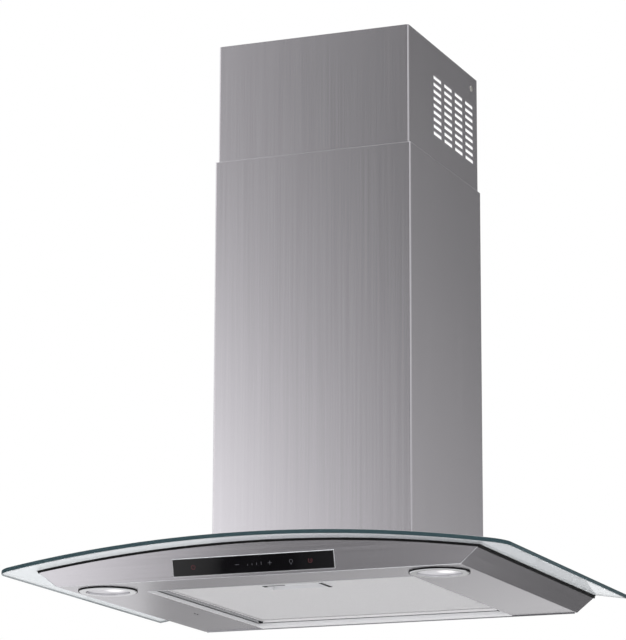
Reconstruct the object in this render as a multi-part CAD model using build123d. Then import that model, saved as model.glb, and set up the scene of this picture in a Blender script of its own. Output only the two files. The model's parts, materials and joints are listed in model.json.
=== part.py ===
from build123d import *
import math
import os

# Wall mount range hood: a slim steel canopy under an arched glass sheet, with a fan casing on the wall
# and a telescopic chimney over it. Millimetres, X to the right, +Y towards the wall, +Z up.
# Heights below are measured from the underside of the canopy, depths from the wall face.
# The finished model is moved so that its origin is the middle of the wall screws, on the wall face.

# Stock and clearances
SHEET = 1.0
GLASS_THICKNESS = 5.0
GASKET_THICKNESS = 2.5
GASKET_WIDTH = 10.0
SEAT_GAP = 0.3
RUNNING_GAP = 0.05
PRESS_GAP = 0.02
SCREW_RADIUS = 1.9
SCREW_HOLE_GAP = 0.1
SCREW_HEAD_RADIUS = 3.6
SCREW_HEAD_HEIGHT = 2.2
SPIGOT_SCREW_LENGTH = 4.0
SCROLL_SCREW_LENGTH = 5.0
OVERCUT = 1.0

# Arched glass sheet
GLASS_WIDTH = 600.0
GLASS_DEPTH = 445.0
GLASS_FRONT_BOW = 8.0
GLASS_CORNER_RADIUS = 18.0
GLASS_RADIUS = 1850.0
GLASS_CROWN = 42.8
GLASS_WALL_GAP = 1.0
GLASS_EDGE_ROUND = 1.2
NOTCH_GAP = 2.0

# Steel canopy under the glass
CANOPY_WIDTH = 477.4
CANOPY_DEPTH = 407.5
SIDE_FLARE = 1.253
FRONT_FLARE = 0.245
PLATE_CROWN = GLASS_CROWN - GLASS_THICKNESS - GASKET_THICKNESS

# Filter opening in the underside
OPENING_WIDTH = 320.0
OPENING_DEPTH = 319.5
OPENING_BACK = 20.0
OPENING_LIP = 3.0
BAY_MARGIN = 4.0

# Lamps
LAMP_SPACING = 396.0
LAMP_FRONT_MARGIN = 46.5
LAMP_BEZEL_RADIUS = 32.7
LAMP_BEZEL_HEIGHT = 2.0
LAMP_HOLE_RADIUS = 30.0
LAMP_LENS_RADIUS = 27.3
LAMP_LIP = 2.3
LAMP_LENS_THICKNESS = 2.0
LAMP_COLLAR_HEIGHT = 9.0
LAMP_MODULE_HEIGHT = 12.0

# Touch panel in the front fascia
PANEL_WIDTH = 190.0
PANEL_HEIGHT = 18.4
PANEL_RISE = 12.6
PANEL_GLASS_THICKNESS = 2.0
HOLDER_MARGIN = 3.0
HOLDER_DEPTH = 7.0
HOLDER_WALL = 1.0
BOARD_THICKNESS = 1.6
BOARD_MARGIN = 3.0

# Grease filter
FILTER_SIDE_GAP = 3.0
FILTER_END_GAP = 5.0
FILTER_RISE = 5.0
FILTER_THICKNESS = 9.0
FILTER_BORDER = 8.0
FILTER_WALL = 1.0
FILTER_LIP = 5.0
FILTER_FACE_THICKNESS = 1.2
FILTER_LAYERS = 4
FILTER_LAYER_THICKNESS = 0.4
FILTER_PIN_RADIUS = 2.0
FILTER_PIN_INSET = 3.5
FILTER_PIN_OVERRUN = 1.0

# Filter latch
POCKET_WIDTH = 70.0
POCKET_LENGTH = 30.0
POCKET_MARGIN = 36.5
POCKET_WALL = 1.2
LATCH_GRIP_WIDTH = 52.0
LATCH_GRIP_LENGTH = 8.0
LATCH_STEM_RADIUS = 1.0
LATCH_TONGUE_WIDTH = 18.0
LATCH_TONGUE_THICKNESS = 3.0
LATCH_TONGUE_LENGTH = 16.0
LATCH_REACH = 4.5
LATCH_NECK_WALL = 1.0
LATCH_SPRING_WIRE = 0.5
LATCH_SPRING_TURNS = 9
LATCH_SPRING_GAP = 0.15
CATCH_THICKNESS = 0.5
CATCH_WIDTH = 14.0
CATCH_HEIGHT = 11.0

# Fan casing on the wall
CASING_SIDE_ROOM = 16.0
CASING_FRONT_ROOM = 15.5
CASING_TOP = 300.0
CASING_FLANGE = 12.0
FLANGE_SCREW_SHARES = (0.25, 0.75)
BACK_THICKNESS = 1.5
WALL_HOLE_SPACING_X = 190.0
WALL_HOLE_SPACING_Z = 180.0
WALL_HOLE_RISE = 180.0
WALL_HOLE_RADIUS = 4.0

# Fan scroll, impeller and motor, with the fan axis along X
FAN_BACK_GAP = 4.5
FAN_AXIS_RISE = 140.0
SCROLL_WALL = 2.0
SCROLL_SIDE_GAP = 6.0
SCROLL_GAP = 8.0
SCROLL_STEP = 8.0
SCROLL_TONGUE = 24.0
SCROLL_INLET_RADIUS = 58.0
SCROLL_COLLAR = 6.0
SCROLL_TAB = 12.0
SCROLL_TAB_LENGTH = 40.0
SCROLL_TAB_THICKNESS = 3.0
IMPELLER_RADIUS = 72.0
IMPELLER_BORE_RADIUS = 58.0
IMPELLER_HALF_WIDTH = 54.0
IMPELLER_RING = 2.0
IMPELLER_BLADES = 36
BLADE_THICKNESS = 1.4
BLADE_SWEEP = 7.0
BLADE_MIDDLE_SWEEP = 2.1
HUB_RADIUS = 10.0
HUB_LENGTH = 18.0
HUB_OVERHANG = 6.0
SHAFT_RADIUS = 4.0
SHAFT_LENGTH = 92.0
MOTOR_RADIUS = 38.0
MOTOR_LENGTH = 60.0
MOTOR_START = 10.0
MOTOR_WALL = 2.0
MOTOR_AIR_GAP = 0.8
ROTOR_RADIUS = 20.0
ROTOR_LENGTH = 36.0
END_CAP_THICKNESS = 6.0
BEARING_RADIUS = 10.0
BEARING_LENGTH = 6.0
BRACKET_ARMS = 3
BRACKET_THICKNESS = 3.0
BRACKET_ARM_WIDTH = 10.0
BRACKET_POST_RADIUS = 4.0
BRACKET_POST_CIRCLE = 69.0

# Outlet spigot and its two damper flaps
SPIGOT_RADIUS = 74.5
SPIGOT_WALL = 1.5
SPIGOT_HEIGHT = 45.0
SPIGOT_FLANGE = 9.5
SPIGOT_SCREWS = 4
OUTLET_HOLE_RADIUS = 63.0
LEDGE_WIDTH = 3.0
LEDGE_HEIGHT = 2.0
FLAP_RISE = 20.0
FLAP_THICKNESS = 1.2
FLAP_EDGE_GAP = 0.6
FLAP_PIN_RADIUS = 2.0
FLAP_HINGE_CLEAR = 5.0
KNUCKLES = 4
KNUCKLE_RADIUS = 4.0
KNUCKLE_LENGTH = 24.0
KNUCKLE_GAP = 0.5

# Wiring box and capacitor on the casing top
BOX_SIZE = 40.0
BOX_HEIGHT = 30.0
BOX_WALL = 2.0
BOX_MARGIN = 2.0
GROMMET_BORE_RADIUS = 4.0
GROMMET_WALL = 1.5
GROMMET_FLANGE = 1.5
CAPACITOR_RADIUS = 16.0
CAPACITOR_HEIGHT = 55.0
CAPACITOR_MARGIN = 4.0

# Leads between the lamps, the touch panel, the motor and the wiring box
LEAD_RADIUS = 2.0
LEAD_HOLE_GAP = 0.5
LEAD_RISE_SHIFT = 7.0
LEAD_BEND_SHARE = 0.45
LEAD_NOTCH_X = -38.0
LEAD_NOTCH_WIDTH = 20.0
LAMP_LEAD_BEND_X = 112.0
LAMP_LEAD_END_X = 80.0
LAMP_LEAD_END_DEPTH = 375.0
PANEL_LEAD_WAY = [(-20.0, -380.0, 15.0), (-45.0, -330.0, 24.0), (-75.0, -262.0, 26.0)]
MOTOR_LEAD_TURN = 235.0
MOTOR_LEAD_JOIN = 262.0

# Telescopic chimney
LOWER_COVER_WIDTH = 246.0
LOWER_COVER_DEPTH = 244.5
LOWER_COVER_TOP = 522.0
COVER_GAP = 1.7
COVER_BEND_RADIUS = 2.0
COVER_LIP = 4.5
COVER_BACK_GAP = 0.5
UPPER_COVER_TOP = 665.6
UPPER_COVER_LENGTH = 440.0
VENT_COLUMNS = 4
VENT_ROWS = 9
VENT_LENGTH = 28.5
VENT_HEIGHT = 4.4
VENT_PITCH_Y = 37.4
VENT_PITCH_Z = 8.6
VENT_FRONT = 156.5
VENT_TOP_DROP = 37.6
PAD_WIDTH = 24.0
PAD_HEIGHT = 20.0
PAD_DROP = 5.0
CLIP_THICKNESS = 1.5
CLIP_WIDTH = 20.0
GLASS_CLIP_HEIGHT = 22.0
GLASS_CLIP_REACH = 8.5
HOOK_RISE = 58.0
HOOK_HEIGHT = 18.0

# Wall angles of the upper cover
CEILING_BRACKET_HEIGHT = 16.0
CEILING_BRACKET_WIDTH = 14.0
CEILING_BRACKET_THICKNESS = 1.5
CEILING_BRACKET_STANDOFF = 10.0
CEILING_BRACKET_TAB = 28.0
CEILING_BRACKET_LIP_GAP = 0.8
BRACKET_HOLE_RADIUS = 3.0
BRACKET_SCREW_DROP = 16.0
BRACKET_SCREW_DEPTH = 22.0
BRACKET_SCREW_HEAD_HEIGHT = 1.2

# Places worked out from the sizes above
ARCH_CENTRE = GLASS_CROWN - GLASS_RADIUS
CASING_HALF = LOWER_COVER_WIDTH / 2 - CASING_SIDE_ROOM
CASING_DEPTH = LOWER_COVER_DEPTH - CASING_FRONT_ROOM
LAMP_X = LAMP_SPACING / 2
LAMP_DEPTH = CANOPY_DEPTH - LAMP_FRONT_MARGIN
OPENING_HALF = OPENING_WIDTH / 2
OPENING_FRONT = OPENING_BACK + OPENING_DEPTH
FILTER_HALF = OPENING_HALF - FILTER_SIDE_GAP
FILTER_FRONT = OPENING_FRONT - FILTER_END_GAP
FILTER_BACK = OPENING_BACK + FILTER_END_GAP
POCKET_FRONT = FILTER_FRONT - POCKET_MARGIN
FILTER_TOP = FILTER_RISE + FILTER_THICKNESS
FILTER_PIN_Y = -(FILTER_BACK + FILTER_PIN_INSET)
FILTER_PIN_Z = FILTER_RISE + FILTER_THICKNESS / 2
BAY_HALF = OPENING_HALF + BAY_MARGIN
FILTER_CORE_LOW = FILTER_RISE + FILTER_WALL + FILTER_FACE_THICKNESS
LATCH_MID = (FILTER_CORE_LOW + FILTER_TOP - FILTER_WALL) / 2
CASING_ROOF = CASING_TOP - SHEET
SCROLL_HALF_WIDTH = IMPELLER_HALF_WIDTH + SCROLL_SIDE_GAP
SCROLL_START_RADIUS = IMPELLER_RADIUS + SCROLL_GAP
FAN_AXIS_DEPTH = BACK_THICKNESS + FAN_BACK_GAP + SCROLL_WALL + SCROLL_START_RADIUS
FAN_Y = -FAN_AXIS_DEPTH
SCROLL_FRONT = FAN_AXIS_DEPTH + SCROLL_START_RADIUS + 3 * SCROLL_STEP
OUTLET_Y = -(SCROLL_FRONT + FAN_AXIS_DEPTH - SCROLL_TONGUE) / 2
FLAP_AXIS_Z = CASING_TOP + FLAP_RISE
LOWER_HALF = LOWER_COVER_WIDTH / 2
UPPER_HALF = LOWER_HALF - SHEET - COVER_GAP
UPPER_DEPTH = LOWER_COVER_DEPTH - SHEET - COVER_GAP
UPPER_BACK = SHEET + COVER_BACK_GAP
BRACKET_SCREW_Z = UPPER_COVER_TOP - BRACKET_SCREW_DROP


def block(x0, x1, y0, y1, z0, z1):
    """A box between two corners."""
    middle = Pos((x0 + x1) / 2, (y0 + y1) / 2, (z0 + z1) / 2)
    return middle * Box(abs(x1 - x0), abs(y1 - y0), abs(z1 - z0))


def rod_x(radius, x0, x1, y, z):
    """A round bar along X."""
    return Pos((x0 + x1) / 2, y, z) * Rot(0, 90, 0) * Cylinder(radius, x1 - x0)


def rod_y(radius, y0, y1, x, z):
    """A round bar along Y."""
    return Pos(x, (y0 + y1) / 2, z) * Rot(90, 0, 0) * Cylinder(radius, y1 - y0)


def rod_z(radius, z0, z1, x, y):
    """A round bar along Z."""
    return Pos(x, y, (z0 + z1) / 2) * Cylinder(radius, z1 - z0)


def outline(*points):
    """A flat face through a closed run of points."""
    return make_face(Polyline(*points, close=True))


def prism_x(face, x0, x1):
    """A face drawn in Y and Z, carried along X."""
    return extrude(Plane.YZ.offset(x0) * face, x1 - x0)


def prism_y(face, y0, y1):
    """A face drawn in X and Z, carried along Y."""
    return extrude(Plane.XZ.offset(-y1) * face, y1 - y0)


def prism_z(face, z0, z1):
    """A face drawn in X and Y, carried along Z."""
    return extrude(Plane.XY.offset(z0) * face, z1 - z0)


def arch_drum(crown):
    """Everything below an arch that is concentric with the glass and this high in the middle."""
    return rod_y(crown - ARCH_CENTRE, -2 * GLASS_DEPTH, GLASS_DEPTH, 0, ARCH_CENTRE)


def arch_height(x, crown):
    """Height of such an arch at a distance from the middle."""
    radius = crown - ARCH_CENTRE
    return ARCH_CENTRE + math.sqrt(radius * radius - x * x)


def screw_down(x, y, seat, length):
    """A pan head screw that points down and seats at a height."""
    head = rod_z(SCREW_HEAD_RADIUS, seat, seat + SCREW_HEAD_HEIGHT, x, y)
    return head + rod_z(SCREW_RADIUS, seat - length, seat, x, y)


def screw_hole(x, y, z0, z1):
    """The clearance hole of such a screw."""
    return rod_z(SCREW_RADIUS + SCREW_HOLE_GAP, z0, z1, x, y)


# Canopy


def side_reach(inset, z):
    """Half width of the flared canopy at a height, less a wall measured square to the side."""
    return CANOPY_WIDTH / 2 + SIDE_FLARE * z - inset * math.hypot(1, SIDE_FLARE)


def front_reach(inset, z):
    """Depth of the leaning front at a height, less a wall measured square to it."""
    return CANOPY_DEPTH + FRONT_FLARE * z - inset * math.hypot(1, FRONT_FLARE)


def canopy_block(front=0, left=0, right=0, rear=0, floor=0, crown=PLATE_CROWN):
    """The canopy's solid form under an arch, with each face moved in by its inset."""
    top = crown + SHEET
    across = outline(
        (-side_reach(left, floor), floor),
        (side_reach(right, floor), floor),
        (side_reach(right, top), top),
        (-side_reach(left, top), top),
    )
    along = outline(
        (-rear, floor),
        (-rear, top),
        (-front_reach(front, top), top),
        (-front_reach(front, floor), floor),
    )
    half = side_reach(0, top)
    form = prism_y(across, -front_reach(0, top), 0) & prism_x(along, -half, half)
    return form & arch_drum(crown)


def fascia_plane():
    """The outer face of the front fascia: x across, y up the face, z outwards."""
    lean = math.atan(FRONT_FLARE)
    return Plane(
        origin=(0, -CANOPY_DEPTH, 0),
        x_dir=(1, 0, 0),
        z_dir=(0, -math.cos(lean), -math.sin(lean)),
    )


def fascia_box(width, height, inner, outer):
    """A box centred on the touch panel, between two depths measured outwards from the fascia."""
    rise = PANEL_RISE * math.hypot(1, FRONT_FLARE)
    place = Pos(0, rise, (inner + outer) / 2)
    return fascia_plane() * place * Box(width, height, outer - inner)


def intake_block(z0, z1):
    """The air way from the canopy into the fan casing."""
    half = CASING_HALF - SHEET - CASING_FLANGE
    front = CASING_DEPTH - SHEET - CASING_FLANGE
    return block(-half, half, -front, -(BACK_THICKNESS + CASING_FLANGE), z0, z1)


def casing_screw_places():
    """Screws along the casing's foot flange."""
    side = CASING_HALF - SHEET - CASING_FLANGE / 2
    front = -(CASING_DEPTH - SHEET - CASING_FLANGE / 2)
    places = [(x, -share * CASING_DEPTH) for x in (-side, side) for share in FLANGE_SCREW_SHARES]
    return places + [(-side / 2, front), (side / 2, front)]


def lamp_places():
    """Middle of each lamp along X, by side."""
    return {"left": -LAMP_X, "right": LAMP_X}


def canopy_plates():
    """Six sheets peeled from the canopy's solid form, each against the last."""
    whole = canopy_block()
    front = canopy_block(front=SHEET)
    left = canopy_block(front=SHEET, left=SHEET)
    sides = canopy_block(front=SHEET, left=SHEET, right=SHEET)
    rear = canopy_block(front=SHEET, left=SHEET, right=SHEET, rear=SHEET)
    floor = canopy_block(front=SHEET, left=SHEET, right=SHEET, rear=SHEET, floor=SHEET)
    inside = canopy_block(SHEET, SHEET, SHEET, SHEET, SHEET, PLATE_CROWN - SHEET)

    window = fascia_box(PANEL_WIDTH, PANEL_HEIGHT, -2 * SHEET, SHEET)
    top_plate = floor - inside - intake_block(0, GLASS_CROWN)
    for x, y in casing_screw_places():
        top_plate -= screw_hole(x, y, 0, GLASS_CROWN)
    return {
        "front_fascia": whole - front - window,
        "side_fascia_left": front - left,
        "side_fascia_right": left - sides,
        "rear_panel": sides - rear,
        "underside_panel": underside_panel(rear - floor),
        "canopy_top_plate": top_plate,
    }


def underside_panel(sheet):
    """The flat underside with its lipped filter opening and two lamp holes."""
    lip_half = OPENING_HALF + SHEET
    lip_top = SHEET + OPENING_LIP
    front = OPENING_FRONT + SHEET
    back = OPENING_BACK - SHEET
    panel = sheet + block(-lip_half, lip_half, -front, -back, 0, lip_top)
    panel -= block(-OPENING_HALF, OPENING_HALF, -OPENING_FRONT, -OPENING_BACK, -SHEET, lip_top + SHEET)
    for x in lamp_places().values():
        panel -= rod_z(LAMP_HOLE_RADIUS, -SHEET, 2 * SHEET, x, -LAMP_DEPTH)
    return panel


def notch_block(grow):
    """Plan of the fan casing, grown sideways and forwards, for the glass and its gasket."""
    half = CASING_HALF + NOTCH_GAP + grow
    return block(-half, half, -(CASING_DEPTH + NOTCH_GAP + grow), SHEET, 0, GLASS_CROWN + SHEET)


def glass_gasket():
    """Rubber strip round the canopy's rim and round the casing, under the glass."""
    under_glass = GLASS_CROWN - GLASS_THICKNESS
    inner = SHEET + GASKET_WIDTH
    rim = canopy_block(0, 0, 0, GLASS_WALL_GAP, 0, under_glass)
    field = canopy_block(inner, inner, inner, inner, 0, under_glass)
    strip = (rim - field) + (rim & notch_block(GASKET_WIDTH))
    return strip - notch_block(0) - arch_drum(PLATE_CROWN)


def glass_canopy():
    """Bent glass with rounded front corners and a notch for the fan casing."""
    half = GLASS_WIDTH / 2
    side = -(GLASS_DEPTH - GLASS_FRONT_BOW)
    front = ThreePointArc((-half, side), (0, -GLASS_DEPTH), (half, side))
    rest = Polyline((half, side), (half, -GLASS_WALL_GAP), (-half, -GLASS_WALL_GAP), (-half, side))
    plan = make_face(front + rest)
    corners = plan.vertices().sort_by(Axis.Y)[:2]
    plan = fillet(corners, GLASS_CORNER_RADIUS)
    sheet = prism_z(plan, 0, GLASS_CROWN + SHEET) & arch_drum(GLASS_CROWN)
    sheet -= arch_drum(GLASS_CROWN - GLASS_THICKNESS)
    rim = [edge for edge in sheet.edges() if abs(edge.length - GLASS_THICKNESS) > GLASS_THICKNESS / 2]
    sheet = fillet(rim, GLASS_EDGE_ROUND)
    return sheet - notch_block(0)


def glass_clips():
    """Angle clips on the fan casing that hold the glass down, hidden by the chimney."""
    low = arch_height(CASING_HALF, GLASS_CROWN)
    top = low + GLASS_CLIP_HEIGHT
    foot = low + CLIP_THICKNESS
    clips = []
    for y in (-CASING_DEPTH / 4, -3 * CASING_DEPTH / 4):
        y0, y1 = y - CLIP_WIDTH / 2, y + CLIP_WIDTH / 2
        for side in (-1, 1):
            wall, leg, reach = [side * (CASING_HALF + d) for d in (0, CLIP_THICKNESS, GLASS_CLIP_REACH)]
            clip = block(wall, leg, y0, y1, 0, top) + block(wall, reach, y0, y1, 0, foot)
            clips.append(clip - arch_drum(GLASS_CROWN + SEAT_GAP))
    front = arch_height(CASING_HALF / 2, GLASS_CROWN)
    for x in (-CASING_HALF / 2, CASING_HALF / 2):
        x0, x1 = x - CLIP_WIDTH / 2, x + CLIP_WIDTH / 2
        wall, leg, reach = [-(CASING_DEPTH + d) for d in (0, CLIP_THICKNESS, GLASS_CLIP_REACH)]
        clip = block(x0, x1, leg, wall, 0, front + GLASS_CLIP_HEIGHT)
        clip += block(x0, x1, reach, wall, 0, front + 2 * CLIP_THICKNESS)
        clips.append(clip - arch_drum(GLASS_CROWN + SEAT_GAP))
    return clips


# Touch panel


def touch_panel():
    """Black glass in the fascia's window, with the tray behind it and its board."""
    glass_gap = 2 * SEAT_GAP
    glass = fascia_box(PANEL_WIDTH - glass_gap, PANEL_HEIGHT - glass_gap, -PANEL_GLASS_THICKNESS, 0)
    wide = PANEL_WIDTH + 2 * HOLDER_MARGIN
    tall = PANEL_HEIGHT + 2 * HOLDER_MARGIN
    back = -SHEET - HOLDER_DEPTH
    floor = back + HOLDER_WALL
    board_wide = PANEL_WIDTH - 2 * BOARD_MARGIN
    board_tall = PANEL_HEIGHT - 2 * BOARD_MARGIN
    tray = fascia_box(wide, tall, back, -SHEET)
    tray -= fascia_box(PANEL_WIDTH, PANEL_HEIGHT, -PANEL_GLASS_THICKNESS, 0)
    tray -= fascia_box(board_wide + glass_gap, board_tall + glass_gap, floor, 0)
    board = fascia_box(board_wide, board_tall, floor, floor + BOARD_THICKNESS)
    tray &= canopy_block(SHEET, SHEET, SHEET, SHEET, SHEET, PLATE_CROWN - SHEET)
    return {"control_panel_glass": glass, "control_panel_holder": tray, "control_board": board}


# Lamps


def lamp(x):
    """One recessed spot lamp: bezel, diffuser and module from below upwards."""
    y = -LAMP_DEPTH
    collar = LAMP_HOLE_RADIUS - SEAT_GAP
    bezel = rod_z(LAMP_BEZEL_RADIUS, -LAMP_BEZEL_HEIGHT, 0, x, y)
    bezel = chamfer(bezel.edges().group_by(Axis.Z)[0], LAMP_BEZEL_HEIGHT / 2)
    bezel += rod_z(collar, 0, LAMP_COLLAR_HEIGHT, x, y)
    bezel -= rod_z(LAMP_LENS_RADIUS + PRESS_GAP, 0, 2 * LAMP_COLLAR_HEIGHT, x, y)
    bezel -= rod_z(LAMP_LENS_RADIUS - LAMP_LIP, -2 * LAMP_BEZEL_HEIGHT, LAMP_COLLAR_HEIGHT, x, y)
    lens = rod_z(LAMP_LENS_RADIUS, 0, LAMP_LENS_THICKNESS, x, y)
    module = rod_z(LAMP_LENS_RADIUS, LAMP_LENS_THICKNESS, LAMP_LENS_THICKNESS + LAMP_MODULE_HEIGHT, x, y)
    return {"lamp_bezel": bezel, "lamp_lens": lens, "lamp_module": module}


# Filter bay and catch


def filter_bay():
    """Four walls that lead the air from the filter up to the fan, with the filter's hinge holes."""
    front, back = -(OPENING_FRONT + BAY_MARGIN), -(OPENING_BACK - BAY_MARGIN)
    roof = arch_drum(PLATE_CROWN - SHEET - SEAT_GAP)
    outer = block(-BAY_HALF - SHEET, BAY_HALF + SHEET, front - SHEET, back + SHEET, SHEET, GLASS_CROWN)
    walls = (outer - block(-BAY_HALF, BAY_HALF, front, back, 0, GLASS_CROWN + SHEET)) & roof
    notch0, notch1 = LEAD_NOTCH_X - LEAD_NOTCH_WIDTH / 2, LEAD_NOTCH_X + LEAD_NOTCH_WIDTH / 2
    walls -= block(notch0, notch1, front - 2 * SHEET, front + SHEET, FILTER_TOP + SHEET, GLASS_CROWN)
    reach = BAY_HALF + 2 * SHEET
    return walls - rod_x(FILTER_PIN_RADIUS + RUNNING_GAP, -reach, reach, FILTER_PIN_Y, FILTER_PIN_Z)


def catch_spring():
    """Leaf on the bay's front wall that the latch tongue snaps over."""
    wall = -(OPENING_FRONT + BAY_MARGIN)
    half = CATCH_WIDTH / 2
    top = LATCH_MID - LATCH_TONGUE_THICKNESS / 2 - SEAT_GAP
    tip = -(FILTER_FRONT + SHEET)
    leaf = block(-half, half, wall, wall + CATCH_THICKNESS, top - CATCH_THICKNESS, top + CATCH_HEIGHT)
    return leaf + block(-half, half, wall, tip, top - CATCH_THICKNESS, top)


# Grease filter and latch


def pocket_block(wall, z0, z1):
    """Plan of the finger pocket, with a wall added all round."""
    half = POCKET_WIDTH / 2 + wall
    return block(-half, half, -POCKET_FRONT - wall, POCKET_LENGTH - POCKET_FRONT + wall, z0, z1)


def neck_block(wall):
    """The tunnel from the pocket to the filter's front border."""
    half = LATCH_TONGUE_WIDTH / 2 + SEAT_GAP + wall
    tall = LATCH_TONGUE_THICKNESS / 2 + SEAT_GAP + wall
    end = -(FILTER_FRONT - FILTER_WALL)
    return block(-half, half, end, -POCKET_FRONT - POCKET_WALL, LATCH_MID - tall, LATCH_MID + tall)


def filter_parts():
    """Folded frame, a mesh face and finer mesh layers inside it, and the two hinge pins."""
    z0, z1 = FILTER_RISE, FILTER_TOP
    front, back = -FILTER_FRONT, -FILTER_BACK
    pocket = pocket_block(POCKET_WALL, z0 - OVERCUT, z1 + OVERCUT)
    neck = neck_block(LATCH_NECK_WALL)
    tongue_way = neck_block(0) + Pos(0, -FILTER_WALL - FILTER_LIP, 0) * neck_block(0)

    def inset(wall, low, high):
        return block(-FILTER_HALF + wall, FILTER_HALF - wall, front + wall, back - wall, low, high)

    frame = inset(0, z0, z1) - inset(FILTER_WALL, z0 + FILTER_WALL, z1 - FILTER_WALL)
    frame -= inset(FILTER_BORDER, z0 - OVERCUT, z1 + OVERCUT)
    frame -= tongue_way
    face = inset(FILTER_WALL, z0 + FILTER_WALL, FILTER_CORE_LOW) - pocket
    core_high = z1 - FILTER_WALL - FILTER_LAYER_THICKNESS
    layers = []
    for i in range(1, FILTER_LAYERS + 1):
        low = FILTER_CORE_LOW + (core_high - FILTER_CORE_LOW) * i / FILTER_LAYERS
        layers.append(inset(FILTER_WALL, low, low + FILTER_LAYER_THICKNESS) - pocket - neck)
    pin_end = BAY_HALF + SHEET + FILTER_PIN_OVERRUN
    inner = FILTER_HALF - FILTER_WALL
    spans = [(-pin_end, -inner), (inner, pin_end)]
    pins = [rod_x(FILTER_PIN_RADIUS, *span, FILTER_PIN_Y, FILTER_PIN_Z) for span in spans]
    for pin in pins:
        frame -= pin
    return {
        "filter_frame": frame,
        "filter_mesh": face,
        "filter_layers": layers,
        "filter_hinge_pins": pins,
    }


def latch_parts():
    """Finger pocket with its tunnel, the sliding latch, and the spring round its stem."""
    roof = FILTER_TOP - FILTER_WALL
    stem_hole = LATCH_STEM_RADIUS + SEAT_GAP
    housing = pocket_block(POCKET_WALL, FILTER_RISE, roof)
    housing -= pocket_block(0, FILTER_RISE - OVERCUT, roof - POCKET_WALL)
    tunnel_back = -POCKET_FRONT - POCKET_WALL
    housing += neck_block(LATCH_NECK_WALL) - neck_block(0)
    housing -= rod_y(stem_hole, tunnel_back - OVERCUT, OVERCUT - POCKET_FRONT, 0, LATCH_MID)

    tip = -(FILTER_FRONT + LATCH_REACH)
    tongue_back = tip + LATCH_TONGUE_LENGTH
    half = LATCH_TONGUE_WIDTH / 2
    tall = LATCH_TONGUE_THICKNESS / 2
    grip_half = LATCH_GRIP_WIDTH / 2
    grip_front = -POCKET_FRONT + SEAT_GAP
    grip_low = FILTER_RISE + SEAT_GAP
    grip_top = roof - POCKET_WALL - SEAT_GAP
    latch = block(-half, half, tip, tongue_back, LATCH_MID - tall, LATCH_MID + tall)
    latch += rod_y(LATCH_STEM_RADIUS, tongue_back, grip_front, 0, LATCH_MID)
    grip = block(-grip_half, grip_half, grip_front, grip_front + LATCH_GRIP_LENGTH, grip_low, grip_top)
    hollow = rod_x(LATCH_GRIP_LENGTH / 2, -grip_half, grip_half, grip_front + LATCH_GRIP_LENGTH, grip_low)
    latch += grip - hollow

    coil = LATCH_STEM_RADIUS + LATCH_SPRING_GAP + LATCH_SPRING_WIRE / 2
    start = tongue_back + LATCH_SPRING_WIRE / 2 + LATCH_SPRING_GAP
    end = tunnel_back - LATCH_SPRING_WIRE / 2 - LATCH_SPRING_GAP
    return {
        "latch_housing": housing,
        "filter_latch": latch,
        "latch_spring": coil_spring(coil, start, end),
    }


def coil_spring(radius, y0, y1):
    """A wire coil along Y, in half turns."""
    half_turns = 2 * LATCH_SPRING_TURNS
    step = (y1 - y0) / half_turns

    def on_coil(share):
        angle = math.pi * share
        return (radius * math.cos(angle), y0 + step * share, LATCH_MID + radius * math.sin(angle))

    path = Wire([ThreePointArc(on_coil(i), on_coil(i + 0.5), on_coil(i + 1)) for i in range(half_turns)])
    section = Plane(origin=path @ 0, z_dir=path % 0) * Circle(LATCH_SPRING_WIRE / 2)
    return sweep(section, path)


# Fan casing


def casing_parts():
    """Sheet box round the fan: a folded shell, a wall plate and a roof."""
    back = -BACK_THICKNESS
    front = -CASING_DEPTH
    inner = CASING_HALF - SHEET
    shell = block(-CASING_HALF, CASING_HALF, front, back, 0, CASING_ROOF)
    shell -= block(-inner, inner, front + SHEET, back + SHEET, 0, CASING_ROOF)
    foot = block(-inner, inner, front + SHEET, back, 0, GLASS_CROWN) & arch_drum(PLATE_CROWN + SHEET)
    well = inner - CASING_FLANGE
    foot -= block(-well, well, front + SHEET + CASING_FLANGE, 0, 0, GLASS_CROWN)
    shell = shell + foot - arch_drum(PLATE_CROWN)
    plate = block(-CASING_HALF, CASING_HALF, back, 0, 0, CASING_TOP) - arch_drum(PLATE_CROWN)
    for x in (-WALL_HOLE_SPACING_X / 2, WALL_HOLE_SPACING_X / 2):
        for z in (-WALL_HOLE_SPACING_Z / 2, WALL_HOLE_SPACING_Z / 2):
            plate -= rod_y(WALL_HOLE_RADIUS, back - SHEET, SHEET, x, WALL_HOLE_RISE + z)
    roof = block(-CASING_HALF, CASING_HALF, front, back, CASING_ROOF, CASING_TOP)
    roof -= rod_z(OUTLET_HOLE_RADIUS, 0, 2 * CASING_TOP, 0, OUTLET_Y)
    roof -= lead_holes(CASING_ROOF - SHEET, CASING_TOP + SHEET)
    for x, y in scroll_screw_places() + spigot_screw_places():
        roof -= screw_hole(x, y, CASING_ROOF - SHEET, CASING_TOP + SHEET)
    screws = []
    for x, y in casing_screw_places():
        shell -= screw_hole(x, y, 0, GLASS_CROWN)
        seat = arch_height(x, PLATE_CROWN + SHEET)
        head = rod_z(SCREW_HEAD_RADIUS, 0, seat + SCREW_HEAD_HEIGHT, x, y) - arch_drum(PLATE_CROWN + SHEET)
        screws.append(head + rod_z(SCREW_RADIUS, seat - 3 * SHEET, seat + SHEET, x, y))
    return {"casing_shell": shell, "casing_back": plate, "casing_top": roof, "casing_screws": screws}


# Scroll


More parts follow.
